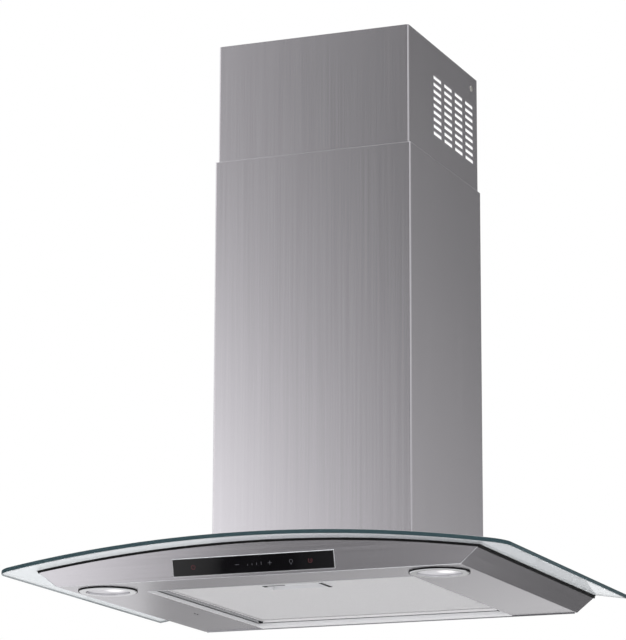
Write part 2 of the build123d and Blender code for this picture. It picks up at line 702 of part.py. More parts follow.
def volute(grow):
    """Outline of the scroll in Y and Z: three growing quarter arcs and an upright outlet."""
    y, z = FAN_Y, FAN_AXIS_RISE
    r1 = SCROLL_START_RADIUS + grow
    r2 = r1 + SCROLL_STEP
    r3 = r2 + SCROLL_STEP
    tongue_y = SCROLL_TONGUE + grow
    tongue = math.acos(tongue_y / r1)
    slant = math.sqrt(0.5)
    start = (y + tongue_y, z + r1 * math.sin(tongue))
    upper_back = (y + r1 * math.cos(tongue / 2), z + r1 * math.sin(tongue / 2))
    back = (y + r1, z)
    lower_y = y + r1 - r2
    lower_back = (lower_y + r2 * slant, z - r2 * slant)
    bottom = (lower_y, z - r2)
    front_z = z - r2 + r3
    lower_front = (lower_y - r3 * slant, front_z - r3 * slant)
    front = (lower_y - r3, front_z)
    sides = [
        ThreePointArc(start, upper_back, back),
        ThreePointArc(back, lower_back, bottom),
        ThreePointArc(bottom, lower_front, front),
        Polyline(front, (front[0], CASING_ROOF), (start[0], CASING_ROOF), start),
    ]
    return make_face(Curve() + sides)


def scroll_screw_places():
    """Screws that hang the scroll under the casing roof."""
    x = SCROLL_HALF_WIDTH + SCROLL_WALL + SCROLL_TAB / 2
    shift = SCROLL_TAB_LENGTH / 4
    return [(side * x, OUTLET_Y + dy) for side in (-1, 1) for dy in (-shift, shift)]


def scroll_half(side):
    """Half of the fan scroll: its rim, a side wall with the inlet, and a hanging tab."""
    outer = SCROLL_HALF_WIDTH + SCROLL_WALL

    def span(x0, x1):
        return min(side * x0, side * x1), max(side * x0, side * x1)

    shell = prism_x(volute(SCROLL_WALL), *span(0, outer)) - prism_x(volute(0), *span(0, SCROLL_HALF_WIDTH))
    collar_span = span(SCROLL_HALF_WIDTH, outer + SCROLL_COLLAR)
    shell += rod_x(SCROLL_INLET_RADIUS + SCROLL_WALL, *collar_span, FAN_Y, FAN_AXIS_RISE)
    shell -= rod_x(SCROLL_INLET_RADIUS, *collar_span, FAN_Y, FAN_AXIS_RISE)
    tab_y = SCROLL_TAB_LENGTH / 2
    shell += block(*span(outer, outer + SCROLL_TAB), OUTLET_Y - tab_y, OUTLET_Y + tab_y,
                   CASING_ROOF - SCROLL_TAB_THICKNESS, CASING_ROOF)
    for x, y in scroll_screw_places():
        shell -= screw_hole(x, y, CASING_ROOF - 2 * SCROLL_TAB_THICKNESS, CASING_TOP)
    return shell


# Impeller and motor


def blade_face():
    """One forward curved blade, drawn across the fan axis between the wheel's bore and rim."""
    r0, r1 = IMPELLER_BORE_RADIUS, IMPELLER_RADIUS - IMPELLER_RING / 4
    middle = (r0 + r1) / 2

    def at(radius, turn):
        angle = math.radians(turn)
        return (radius * math.cos(angle), radius * math.sin(angle))

    thick = math.degrees(BLADE_THICKNESS / middle)
    low = ThreePointArc(at(r0, 0), at(middle, BLADE_MIDDLE_SWEEP), at(r1, BLADE_SWEEP))
    high = ThreePointArc(at(r1, BLADE_SWEEP + thick), at(middle, BLADE_MIDDLE_SWEEP + thick), at(r0, thick))
    ends = Line(low @ 1, high @ 0), Line(high @ 1, low @ 0)
    return make_face(Curve() + [low, ends[0], high, ends[1]])


def fan_place(x):
    """A plane across the fan axis."""
    return Plane(origin=(x, FAN_Y, FAN_AXIS_RISE), x_dir=(0, 1, 0), z_dir=(1, 0, 0))


def fan_rod(radius, x0, x1):
    """A round bar on the fan axis."""
    return rod_x(radius, x0, x1, FAN_Y, FAN_AXIS_RISE)


def impeller_disc():
    """Middle disc and hub of the double inlet wheel, which carry a blade cage on each side."""
    disc = fan_rod(IMPELLER_RADIUS, -IMPELLER_RING / 2, IMPELLER_RING / 2)
    disc += fan_rod(HUB_RADIUS, HUB_OVERHANG - HUB_LENGTH, HUB_OVERHANG)
    return disc - fan_rod(SHAFT_RADIUS + PRESS_GAP, -IMPELLER_HALF_WIDTH, IMPELLER_HALF_WIDTH)


def impeller_cage(start):
    """One blade cage: blades between two rim rings, from a place on the fan axis."""
    blade = blade_face()
    blades = Sketch() + [Rot(0, 0, 360 * i / IMPELLER_BLADES) * blade for i in range(IMPELLER_BLADES)]
    length = IMPELLER_HALF_WIDTH - IMPELLER_RING / 2
    cage = extrude(fan_place(start) * blades, length)
    for x in (start, start + length - IMPELLER_RING):
        ring = fan_rod(IMPELLER_RADIUS, x, x + IMPELLER_RING)
        cage += ring - fan_rod(IMPELLER_BORE_RADIUS, x, x + IMPELLER_RING)
    return cage


def motor_parts():
    """Open motor inside the right inlet: can, end cap, stator, bearings, rotor and shaft."""
    x0 = MOTOR_START
    x1 = x0 + MOTOR_LENGTH
    front_bearing = x0 + MOTOR_WALL
    inside = MOTOR_RADIUS - MOTOR_WALL
    can = fan_rod(MOTOR_RADIUS, x0, x1) - fan_rod(inside, x0 + MOTOR_WALL, x1)
    seat_end = front_bearing + BEARING_LENGTH
    can += fan_rod(BEARING_RADIUS + MOTOR_WALL, front_bearing, seat_end)
    can -= fan_rod(BEARING_RADIUS, front_bearing, seat_end)
    can -= fan_rod(SHAFT_RADIUS + SEAT_GAP, x0, seat_end)
    cap_end = x1 + END_CAP_THICKNESS
    cap = fan_rod(MOTOR_RADIUS, x1, cap_end) - fan_rod(BEARING_RADIUS, x1, cap_end)

    def bearing(start):
        ring = fan_rod(BEARING_RADIUS, start, start + BEARING_LENGTH)
        return ring - fan_rod(SHAFT_RADIUS + RUNNING_GAP, start, start + BEARING_LENGTH)

    core0 = (x0 + MOTOR_WALL + x1 - ROTOR_LENGTH) / 2 + MOTOR_WALL
    core1 = core0 + ROTOR_LENGTH
    stator = fan_rod(inside, core0, core1) - fan_rod(ROTOR_RADIUS + MOTOR_AIR_GAP, core0, core1)
    rotor = fan_rod(ROTOR_RADIUS, core0, core1) - fan_rod(SHAFT_RADIUS + PRESS_GAP, core0, core1)
    shaft_start = HUB_OVERHANG - HUB_LENGTH
    return {
        "motor_can": can,
        "motor_end_cap": cap,
        "motor_stator": stator,
        "motor_bearings": [bearing(front_bearing), bearing(x1)],
        "motor_rotor": rotor,
        "motor_shaft": fan_rod(SHAFT_RADIUS, shaft_start, shaft_start + SHAFT_LENGTH),
        "impeller_disc": impeller_disc(),
        "impeller_cage_left": impeller_cage(-IMPELLER_HALF_WIDTH),
        "impeller_cage_right": impeller_cage(IMPELLER_RING / 2),
    }


def motor_bracket():
    """Three armed spider that carries the motor on the scroll's right inlet."""
    x0 = MOTOR_START + MOTOR_LENGTH + END_CAP_THICKNESS
    x1 = x0 + BRACKET_THICKNESS
    spider = fan_rod(MOTOR_RADIUS, x0, x1)
    for i in range(BRACKET_ARMS):
        turn = Rot(360 * i / BRACKET_ARMS, 0, 0)
        arm = Box(BRACKET_THICKNESS, BRACKET_POST_CIRCLE, BRACKET_ARM_WIDTH)
        post = rod_x(BRACKET_POST_RADIUS, SCROLL_HALF_WIDTH + SCROLL_WALL - x0, BRACKET_THICKNESS,
                     BRACKET_POST_CIRCLE, 0)
        reach = Pos(0, BRACKET_POST_CIRCLE / 2, 0)
        spider += Pos((x0 + x1) / 2, FAN_Y, FAN_AXIS_RISE) * turn * reach * arm
        spider += Pos(x0, FAN_Y, FAN_AXIS_RISE) * turn * post
    return spider - fan_rod(BEARING_RADIUS, x0, x1)


# Outlet


def spigot_screw_places():
    """Screws round the spigot's flange, clear of the flap pin."""
    circle = SPIGOT_RADIUS + SPIGOT_FLANGE / 2
    turns = [2 * math.pi * (i + 0.5) / SPIGOT_SCREWS for i in range(SPIGOT_SCREWS)]
    return [(circle * math.cos(t), OUTLET_Y + circle * math.sin(t)) for t in turns]


def outlet_spigot():
    """Round duct spigot with a base flange and a ledge that the flaps rest on."""
    z0, z1 = CASING_TOP, CASING_TOP + SPIGOT_HEIGHT
    bore = SPIGOT_RADIUS - SPIGOT_WALL
    ledge_top = FLAP_AXIS_Z - FLAP_THICKNESS / 2 - SEAT_GAP
    ring = rod_z(SPIGOT_RADIUS, z0, z1, 0, OUTLET_Y)
    ring += rod_z(SPIGOT_RADIUS + SPIGOT_FLANGE, z0, z0 + SPIGOT_WALL, 0, OUTLET_Y)
    ring -= rod_z(bore, z0, ledge_top - LEDGE_HEIGHT, 0, OUTLET_Y)
    ring -= rod_z(bore - LEDGE_WIDTH, z0, z1, 0, OUTLET_Y)
    ring -= rod_z(bore, ledge_top, z1, 0, OUTLET_Y)
    ring -= rod_x(FLAP_PIN_RADIUS + RUNNING_GAP, -2 * bore, 2 * bore, OUTLET_Y, FLAP_AXIS_Z)
    for x, y in spigot_screw_places():
        ring -= screw_hole(x, y, z0 - SHEET, z0 + 2 * SPIGOT_WALL)
    return ring


def knuckles(first):
    """Spans of the flap hinge barrels along X, every other one from the first."""
    pitch = KNUCKLE_LENGTH + KNUCKLE_GAP
    starts = [(i - KNUCKLES / 2) * pitch for i in range(first, KNUCKLES, 2)]
    return [(start, start + KNUCKLE_LENGTH) for start in starts]


def damper_flap(side, first):
    """A half disc with two hinge barrels on the pin across the spigot."""
    rim = SPIGOT_RADIUS - SPIGOT_WALL - FLAP_EDGE_GAP
    z0, z1 = FLAP_AXIS_Z - FLAP_THICKNESS / 2, FLAP_AXIS_Z + FLAP_THICKNESS / 2
    near, far = sorted((OUTLET_Y + side * FLAP_HINGE_CLEAR, OUTLET_Y + side * 2 * rim))
    flap = rod_z(rim, z0, z1, 0, OUTLET_Y) & block(-rim, rim, near, far, z0, z1)
    for x0, x1 in knuckles(first):
        web0, web1 = sorted((OUTLET_Y, OUTLET_Y + side * FLAP_HINGE_CLEAR))
        flap += block(x0, x1, web0, web1, z0, z1)
        flap += rod_x(KNUCKLE_RADIUS, x0, x1, OUTLET_Y, FLAP_AXIS_Z)
    return flap - rod_x(FLAP_PIN_RADIUS + RUNNING_GAP, -rim, rim, OUTLET_Y, FLAP_AXIS_Z)


def outlet_parts():
    """Spigot, flap pin, both flaps, and the screws of the spigot and the scroll."""
    pin_half = SPIGOT_RADIUS - SPIGOT_WALL / 2
    flange_top = CASING_TOP + SPIGOT_WALL
    spigot_screws = [screw_down(*place, flange_top, SPIGOT_SCREW_LENGTH) for place in spigot_screw_places()]
    scroll_screws = [screw_down(*place, CASING_TOP, SCROLL_SCREW_LENGTH) for place in scroll_screw_places()]
    return {
        "outlet_spigot": outlet_spigot(),
        "flap_pin": rod_x(FLAP_PIN_RADIUS, -pin_half, pin_half, OUTLET_Y, FLAP_AXIS_Z),
        "damper_flap_front": damper_flap(-1, 0),
        "damper_flap_rear": damper_flap(1, 1),
        "spigot_screws": spigot_screws,
        "scroll_screws": scroll_screws,
    }


# Wiring box and capacitor


def wiring_parts():
    """Junction box with its lid and cable grommet, and the motor's capacitor, on the casing roof."""
    x, y = box_place()
    half = BOX_SIZE / 2
    x0, x1, y0, y1 = x - half, x + half, y - half, y + half
    lid_z = CASING_TOP + BOX_HEIGHT
    tray = block(x0, x1, y0, y1, CASING_TOP, lid_z)
    wall = BOX_WALL
    tray -= block(x0 + wall, x1 - wall, y0 + wall, y1 - wall, CASING_TOP + wall, lid_z)
    tray -= lead_holes(CASING_TOP, lid_z)
    sleeve = GROMMET_BORE_RADIUS + GROMMET_WALL
    low, high = lid_z - GROMMET_FLANGE, lid_z + wall + GROMMET_FLANGE
    lid = block(x0, x1, y0, y1, lid_z, lid_z + wall) - rod_z(sleeve, low, high, x, y)
    collar = sleeve + GROMMET_FLANGE
    grommet = rod_z(sleeve, low, high, x, y)
    grommet += rod_z(collar, low, lid_z, x, y) + rod_z(collar, lid_z + wall, high, x, y)
    grommet -= rod_z(GROMMET_BORE_RADIUS, low, high, x, y)
    capacitor = rod_z(CAPACITOR_RADIUS, CASING_TOP, CASING_TOP + CAPACITOR_HEIGHT, *capacitor_place())
    return {
        "junction_box": tray,
        "junction_box_lid": lid,
        "cable_grommet": grommet,
        "run_capacitor": fillet(capacitor.edges().group_by(Axis.Z)[-1], CAPACITOR_MARGIN / 2),
    }


def lead(points):
    """A round lead with each bend as wide as its two runs allow."""
    places = [Vector(*point) for point in points]
    runs = [after - before for before, after in zip(places, places[1:])]
    radii = []
    for before, after in zip(runs, runs[1:]):
        half_turn = math.radians(before.get_angle(after)) / 2
        radii.append(LEAD_BEND_SHARE * min(before.length, after.length) / math.tan(half_turn))
    print("lead bend radii in mm:", [round(radius, 1) for radius in radii])
    path = FilletPolyline(*places, radius=radii)
    return sweep(Plane(origin=path @ 0, z_dir=path % 0) * Circle(LEAD_RADIUS), path)


def lead_holes(z0, z1):
    """Holes in the casing roof for the leads to the wiring box and the capacitor."""
    radius = LEAD_RADIUS + LEAD_HOLE_GAP
    box_hole = rod_z(radius, z0, z1, *lead_rise_place())
    return box_hole + rod_z(radius, z0, z1, *capacitor_place())


def box_place():
    """Middle of the wiring box, in the back left corner of the casing roof."""
    reach = BOX_MARGIN + BOX_SIZE / 2
    return reach - CASING_HALF, -BACK_THICKNESS - reach


def lead_rise_place():
    """Where the touch panel's lead comes up through the casing roof into the wiring box."""
    x, y = box_place()
    return x, y - LEAD_RISE_SHIFT


def capacitor_place():
    """Middle of the capacitor, in the back right corner of the casing roof."""
    reach = CAPACITOR_MARGIN + CAPACITOR_RADIUS
    return CASING_HALF - reach, -BACK_THICKNESS - reach


def tray_back(x, height):
    """A point on the back of the touch panel's tray, part of the way up the fascia."""
    point = fascia_plane() * Pos(x, height, -SHEET - HOLDER_DEPTH)
    return tuple(point.position)


def wiring_leads():
    """Lamps to touch panel, panel to wiring box, motor to capacitor, capacitor to wiring box."""
    lamp_z = LAMP_COLLAR_HEIGHT + LEAD_RADIUS + LEAD_HOLE_GAP
    leads = []
    for side in (-1, 1):
        end = tray_back(side * LAMP_LEAD_END_X, PANEL_RISE)
        start = (side * (LAMP_X - LAMP_LENS_RADIUS), -LAMP_DEPTH, lamp_z)
        bend = (side * LAMP_LEAD_BEND_X, -LAMP_DEPTH, lamp_z)
        leads.append(lead([start, bend, (end[0], -LAMP_LEAD_END_DEPTH, end[2]), end]))
    start = tray_back(PANEL_LEAD_WAY[0][0], PANEL_RISE)
    rise = lead_rise_place()
    foot = (*rise, PANEL_LEAD_WAY[-1][2])
    leads.append(lead([start, *PANEL_LEAD_WAY, foot, (*rise, CASING_TOP + 2 * BOX_WALL)]))
    tray = fascia_box(PANEL_WIDTH, PANEL_HEIGHT, -SHEET - HOLDER_DEPTH, 0)
    leads = [one - tray for one in leads]

    cap_x, cap_y = capacitor_place()
    motor_x = MOTOR_START + MOTOR_LENGTH + END_CAP_THICKNESS / 2
    motor_top = FAN_AXIS_RISE + MOTOR_RADIUS
    climb = [(motor_x, FAN_Y, motor_top), (motor_x, FAN_Y, MOTOR_LEAD_TURN)]
    leads.append(lead(climb + [(cap_x, cap_y, MOTOR_LEAD_JOIN), (cap_x, cap_y, CASING_TOP)]))
    box_side = box_place()[0] + BOX_SIZE / 2
    link_z = CASING_TOP + LEAD_RADIUS + LEAD_HOLE_GAP
    leads.append(rod_x(LEAD_RADIUS, box_side, cap_x - CAPACITOR_RADIUS, cap_y, link_z))
    return leads


# Chimney


def cover_plan(half, depth, back):
    """Plan of a folded three sided cover with small lips along the wall."""
    outer = outline((-half, -depth), (half, -depth), (half, -back), (-half, -back))
    inner_half = half - SHEET
    inner = outline(
        (-inner_half, SHEET - depth), (inner_half, SHEET - depth),
        (inner_half, -back - SHEET), (-inner_half, -back - SHEET),
    )
    outer = fillet(outer.vertices().sort_by(Axis.Y)[:2], COVER_BEND_RADIUS)
    inner = fillet(inner.vertices().sort_by(Axis.Y)[:2], COVER_BEND_RADIUS - SHEET)
    gap = Pos(0, -back - SHEET / 2) * Rectangle(2 * (half - COVER_LIP), 2 * SHEET)
    return outer - inner - gap


def lower_chimney_cover():
    """Outer cover, cut along the glass at its foot."""
    cover = prism_z(cover_plan(LOWER_HALF, LOWER_COVER_DEPTH, 0), 0, LOWER_COVER_TOP)
    return cover - arch_drum(GLASS_CROWN + SEAT_GAP)


def upper_chimney_cover():
    """Inner cover with louvre slots in both sides and its two screw holes."""
    low = UPPER_COVER_TOP - UPPER_COVER_LENGTH
    cover = prism_z(cover_plan(UPPER_HALF, UPPER_DEPTH, UPPER_BACK), low, UPPER_COVER_TOP)
    top = UPPER_COVER_TOP - VENT_TOP_DROP
    slots = []
    for column in range(VENT_COLUMNS):
        y = -VENT_FRONT + column * VENT_PITCH_Y
        for row in range(VENT_ROWS):
            z = top - row * VENT_PITCH_Z
            slots.append(block(-LOWER_HALF, LOWER_HALF, y, y + VENT_LENGTH, z - VENT_HEIGHT, z))
    cover = cover.cut(*slots)
    hole = SCREW_RADIUS + SCREW_HOLE_GAP
    return cover - rod_x(hole, -LOWER_HALF, LOWER_HALF, -BRACKET_SCREW_DEPTH, BRACKET_SCREW_Z)


def slide_pads():
    """Low friction pads inside the top of the outer cover."""
    z1 = LOWER_COVER_TOP - PAD_DROP
    z0 = z1 - PAD_HEIGHT
    thick = COVER_GAP - SEAT_GAP
    wall = LOWER_HALF - SHEET
    front = SHEET - LOWER_COVER_DEPTH
    half = PAD_WIDTH / 2
    pads = []
    for y in (-LOWER_COVER_DEPTH / 4, -3 * LOWER_COVER_DEPTH / 4):
        for side in (-1, 1):
            pads.append(block(side * wall, side * (wall - thick), y - half, y + half, z0, z1))
    for x in (-LOWER_HALF / 2, LOWER_HALF / 2):
        pads.append(block(x - half, x + half, front, front + thick, z0, z1))
    return pads


def cover_hooks():
    """Angle hooks on the casing sides that the outer cover's walls stand against."""
    hooks = []
    y0, y1 = -CASING_DEPTH / 2 - CLIP_WIDTH / 2, -CASING_DEPTH / 2 + CLIP_WIDTH / 2
    z0, z1 = HOOK_RISE, HOOK_RISE + HOOK_HEIGHT
    wall = LOWER_HALF - SHEET
    for side in (-1, 1):
        hook = block(side * CASING_HALF, side * (CASING_HALF + CLIP_THICKNESS), y0, y1, z0, z1)
        hook += block(side * CASING_HALF, side * wall, y0, y1, z0, z0 + CLIP_THICKNESS)
        hooks.append(hook + block(side * (wall - CLIP_THICKNESS), side * wall, y0, y1, z0, z1))
    return hooks


def chimney_bracket():
    """Two folded wall angles that the upper cover is screwed to."""
    thick = CEILING_BRACKET_THICKNESS
    outer = UPPER_HALF - COVER_LIP - CEILING_BRACKET_LIP_GAP
    inner = outer - CEILING_BRACKET_WIDTH
    arm = outer - thick
    tab = UPPER_HALF - SHEET
    back = -CEILING_BRACKET_STANDOFF
    z0 = BRACKET_SCREW_Z - CEILING_BRACKET_HEIGHT / 2
    z1 = BRACKET_SCREW_Z + CEILING_BRACKET_HEIGHT / 2
    hole = rod_x(SCREW_RADIUS + SCREW_HOLE_GAP, -LOWER_HALF, LOWER_HALF, -BRACKET_SCREW_DEPTH, BRACKET_SCREW_Z)
    angles = []
    for side in (-1, 1):
        angle = block(side * inner, side * outer, -thick, 0, z0, z1)
        angle += block(side * arm, side * outer, back, 0, z0, z1)
        angle += block(side * arm, side * tab, back, back + thick, z0, z1)
        angle += block(side * (tab - thick), side * tab, back - CEILING_BRACKET_TAB, back + thick, z0, z1)
        wall_hole = Pos(side * (inner + arm) / 2, BRACKET_SCREW_Z) * Circle(BRACKET_HOLE_RADIUS)
        angles.append(angle - prism_y(wall_hole, -2 * thick, thick) - hole)
    return angles


def bracket_screws():
    """Flat headed screws through the upper cover into its bracket."""
    screws = []
    for side in (-1, 1):
        inner, skin = side * (UPPER_HALF - 4 * SHEET), side * UPPER_HALF
        crown = side * (UPPER_HALF + BRACKET_SCREW_HEAD_HEIGHT)
        place = (-BRACKET_SCREW_DEPTH, BRACKET_SCREW_Z)
        head = rod_x(SCREW_HEAD_RADIUS, min(skin, crown), max(skin, crown), *place)
        screws.append(head + rod_x(SCREW_RADIUS, min(inner, skin), max(inner, skin), *place))
    return screws


def build():
    """Every node of the hood, by name."""
    nodes = canopy_plates()
    nodes["glass_gasket"] = glass_gasket()
    nodes["glass_canopy"] = glass_canopy()
    nodes["glass_clips"] = glass_clips()
    nodes.update(touch_panel())
    for side, x in lamp_places().items():
        nodes.update({f"{name}_{side}": shape for name, shape in lamp(x).items()})
    nodes["filter_bay"] = filter_bay()
    nodes["catch_spring"] = catch_spring()
    nodes.update(filter_parts())
    nodes.update(latch_parts())
    nodes.update(casing_parts())
    nodes["scroll_left"] = scroll_half(-1)
    nodes["scroll_right"] = scroll_half(1)
    nodes.update(motor_parts())
    nodes["motor_bracket"] = motor_bracket()
    nodes.update(outlet_parts())
    nodes.update(wiring_parts())
    nodes["wiring_leads"] = wiring_leads()
    nodes["lower_chimney_cover"] = lower_chimney_cover()
    nodes["upper_chimney_cover"] = upper_chimney_cover()
    nodes["slide_pads"] = slide_pads()
    nodes["cover_hooks"] = cover_hooks()
    nodes["chimney_bracket"] = chimney_bracket()
    nodes["bracket_screws"] = bracket_screws()
    return nodes


os.makedirs("parts", exist_ok=True)
to_origin = Pos(0, 0, -WALL_HOLE_RISE)
for name, shape in build().items():
    pieces = shape if isinstance(shape, list) else [shape]
    solids = [to_origin * solid for piece in pieces for solid in piece.solids()]
    node = solids[0] if len(solids) == 1 else Compound(children=solids)
    export_step(node, f"parts/{name}.step")
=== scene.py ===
# %% [markdown]
# # A wall mount range hood
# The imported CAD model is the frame: every sheet, screw and fan part is already in it, at its real size and
# place. This lesson dresses it. It gives each part the finish of the real material, adds the fine pieces
# that a maker would add last, and sets up a small photo studio round it. Everything is in metres, with the
# wall at Y = 0.

# %% Load the frame
import json
import math

import bmesh
import bpy
from mathutils import Matrix, Quaternion, Vector


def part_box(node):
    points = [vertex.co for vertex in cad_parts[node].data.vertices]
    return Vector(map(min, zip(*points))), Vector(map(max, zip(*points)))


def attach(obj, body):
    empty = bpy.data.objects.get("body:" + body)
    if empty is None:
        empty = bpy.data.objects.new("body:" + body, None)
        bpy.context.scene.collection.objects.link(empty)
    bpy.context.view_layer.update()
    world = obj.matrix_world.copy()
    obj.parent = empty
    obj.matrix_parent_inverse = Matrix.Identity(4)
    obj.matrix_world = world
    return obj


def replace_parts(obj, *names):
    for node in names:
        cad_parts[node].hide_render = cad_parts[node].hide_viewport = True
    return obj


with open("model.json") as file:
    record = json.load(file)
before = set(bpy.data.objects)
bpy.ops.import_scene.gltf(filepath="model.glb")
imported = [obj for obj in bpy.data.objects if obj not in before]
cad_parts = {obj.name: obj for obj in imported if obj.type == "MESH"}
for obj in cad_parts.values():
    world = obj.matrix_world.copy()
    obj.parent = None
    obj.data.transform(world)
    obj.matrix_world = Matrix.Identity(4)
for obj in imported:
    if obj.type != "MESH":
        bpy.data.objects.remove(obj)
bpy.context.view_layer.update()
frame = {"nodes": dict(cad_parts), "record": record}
nodes = frame["nodes"]
MM = 0.001

# %% [markdown]
# A few helpers carry the whole script. Colours are written as the hex values that a painter would pick on
# a screen, and one function turns them into the linear light that Blender works in. Another adds one node
# to a tree, with its settings and inputs, so that a finish reads as a short list of nodes. A node that is
# given as an input is linked by its first output.

# %% Colour and node helpers


def linear(hex_colour):
    """An sRGB hex colour as linear red, green, blue and alpha."""
    parts = [int(hex_colour[i:i + 2], 16) / 255 for i in (1, 3, 5)]
    return [c / 12.92 if c <= 0.04045 else ((c + 0.055) / 1.055) ** 2.4 for c in parts] + [1.0]


def connect(tree, node, inputs):
    """Link each input whose value is a node or a socket, and set the others."""
    for name, value in inputs.items():
        if isinstance(value, bpy.types.Node):
            value = value.outputs[0]
        if isinstance(value, bpy.types.NodeSocket):
            tree.links.new(value, node.inputs[name])
        else:
            node.inputs[name].default_value = value


def add(tree, kind, inputs=None, **settings):
    """Add one node with its settings and inputs."""
    node = tree.nodes.new(kind)
    for name, value in settings.items():
        setattr(node, name, value)
    connect(tree, node, inputs or {})
    return node


def empty_tree(owner):
    """The node tree of a material or a world, with nothing in it."""
    owner.use_nodes = True
    owner.node_tree.nodes.clear()
    return owner.node_tree


def start_finish(name):
    """A material, its tree, its one shader, and Object coordinates in metres."""
    finish = bpy.data.materials.new(name)
    tree = empty_tree(finish)
    shader = add(tree, "ShaderNodeBsdfPrincipled")
    add(tree, "ShaderNodeOutputMaterial", {"Surface": shader})
    return finish, tree, shader, add(tree, "ShaderNodeTexCoord").outputs["Object"]


print("steel grey in linear light:", [round(c, 3) for c in linear("#B9B9BC")])

# %% [markdown]
# ## Patterns
# No real surface is even. One helper makes a noise whose patches have a real size, and may be drawn out
# along one axis. The other lets one pattern blend two tones, and another set the gloss between two values.

# %% Patterns that vary a surface
FULL_SPAN = (0.0, 1.0)


def patches(tree, place, size, detail, length=None, along=0):
    """A noise with patches of one size, which may be drawn out to a length along one axis."""
    squeeze = [1 / size] * 3
    squeeze[along] = 1 / (length or size)
    spot = add(tree, "ShaderNodeMapping", {"Vector": place, "Scale": squeeze})
    return add(tree, "ShaderNodeTexNoise", {"Vector": spot, "Scale": 1.0, "Detail": detail}).outputs["Fac"]


def vary(tree, shader, tone, tones, gloss, rough, looks, span=FULL_SPAN):
    """Let one pattern blend two tones, and another set the roughness between two values."""
    dark, light = map(linear, tones)
    colour = add(tree, "ShaderNodeMix", {0: tone, 6: dark, 7: light}, data_type="RGBA")
    dull = add(tree, "ShaderNodeMapRange", {"Value": gloss, "From Min": span[0], "From Max": span[1],
                                            "To Min": rough[0], "To Max": rough[1]})
    connect(tree, shader, {"Base Color": colour.outputs[2], "Roughness": dull, **looks})


print("patterns: patches of a noise, and two tones with two degrees of gloss")

# %% [markdown]
# ## Brushed stainless steel
# The chimney, the canopy and its underside are stainless sheet that was dragged under an abrasive belt.
# The eye sees fine parallel scratches, a soft stretched reflection and faint lighter and darker streaks. A
# noise that is squeezed across the grain and drawn out along it gives both: a fine one for the scratches
# and a broad one for the streaks. The real scratches are about 0.1 mm wide, too fine for the picture, so
# they are drawn 1 mm wide. The grain runs up the chimney, across the canopy and along its sides, so the
# finish takes the grain's direction.

# %% Brushed stainless
SCRATCH_WIDTH = 1.0 * MM
SCRATCH_LENGTH = 220 * MM
SCRATCH_DEPTH = 0.02 * MM
SCRATCH_STRENGTH = 0.012
STREAK_WIDTH = 5.0 * MM
STREAK_LENGTH = 500 * MM
STREAK_SHARE = 0.25
CLOUD_SIZE = 160 * MM
CLOUD_SHARE = 0.25
BLEND_LOW, BLEND_HIGH = 0.33, 1.17
NOISE_SPAN = (0.3, 0.7)
STEEL_TONES = ("#C1BEC3", "#CDCACF")
STEEL_ROUGH = (0.235, 0.265)


def brushed_steel(name, along, tones=STEEL_TONES, rough=STEEL_ROUGH):
    """Belt ground sheet with its grain along one axis, 0 for X, 1 for Y and 2 for Z."""
    finish, tree, shader, place = start_finish(name)
    grain = patches(tree, place, SCRATCH_WIDTH, detail=3.0, length=SCRATCH_LENGTH, along=along)
    streak = patches(tree, place, STREAK_WIDTH, detail=1.0, length=STREAK_LENGTH, along=along)
    cloud = patches(tree, place, CLOUD_SIZE, detail=1.0)
    lines = add(tree, "ShaderNodeMath", {0: streak, 1: STREAK_SHARE, 2: grain}, operation="MULTIPLY_ADD")
    blend = add(tree, "ShaderNodeMath", {0: cloud, 1: CLOUD_SHARE, 2: lines}, operation="MULTIPLY_ADD")
    share = add(tree, "ShaderNodeMapRange", {"Value": blend, "From Min": BLEND_LOW, "From Max": BLEND_HIGH})
    scratch = add(tree, "ShaderNodeBump",
                  {"Strength": SCRATCH_STRENGTH, "Distance": SCRATCH_DEPTH, "Height": grain})
    vary(tree, shader, share, tones, grain, rough, {"Metallic": 1.0, "Normal": scratch}, NOISE_SPAN)
    return finish


steel_upright = brushed_steel("brushed_stainless_upright", 2)
steel_across = brushed_steel("brushed_stainless_across", 0)
steel_fore_aft = brushed_steel("brushed_stainless_fore_aft", 1)
steel_edge = brushed_steel("polished_stainless_edge", 0, ("#D8D8DB", "#E2E2E4"), (0.14, 0.22))
ground_edge = brushed_steel("ground_stainless_edge", 0, ("#E6E6E9", "#F0F0F2"), (0.55, 0.65))
print("sheet finishes:", steel_upright.name, steel_across.name, steel_fore_aft.name)
print("edge finishes:", steel_edge.name, ground_edge.name)

# %% [markdown]
# ## Glass
# The canopy is a 5 mm sheet of bent float glass. Iron in the glass tints the long way along the sheet, so
# the ground and polished edge is a deep sea green while the faces are almost clear. One finish does both:
# a face points up or down and the edge points sideways, so the surface's own direction chooses between
# them. Real glass has an index of 1.52. Seen at this grazing angle it would mirror the dark gasket, which
# the hood hardly does, so the index is lowered until the overhang is as clear as it should be. A milky
# white share of the faces is painted reflection: it stands for the pale veil of reflected light on the
# glass.
# The touch panel is black backed glass with the faint smears that fingers leave.

# %% Float glass and black panel glass
EDGE_TURN, FACE_TURN = 0.55, 0.95
EDGE_CLEAR, FACE_CLEAR = 0.12, 0.68
CLEAR_INDEX = 1.08
SMEAR_SIZE = 30 * MM


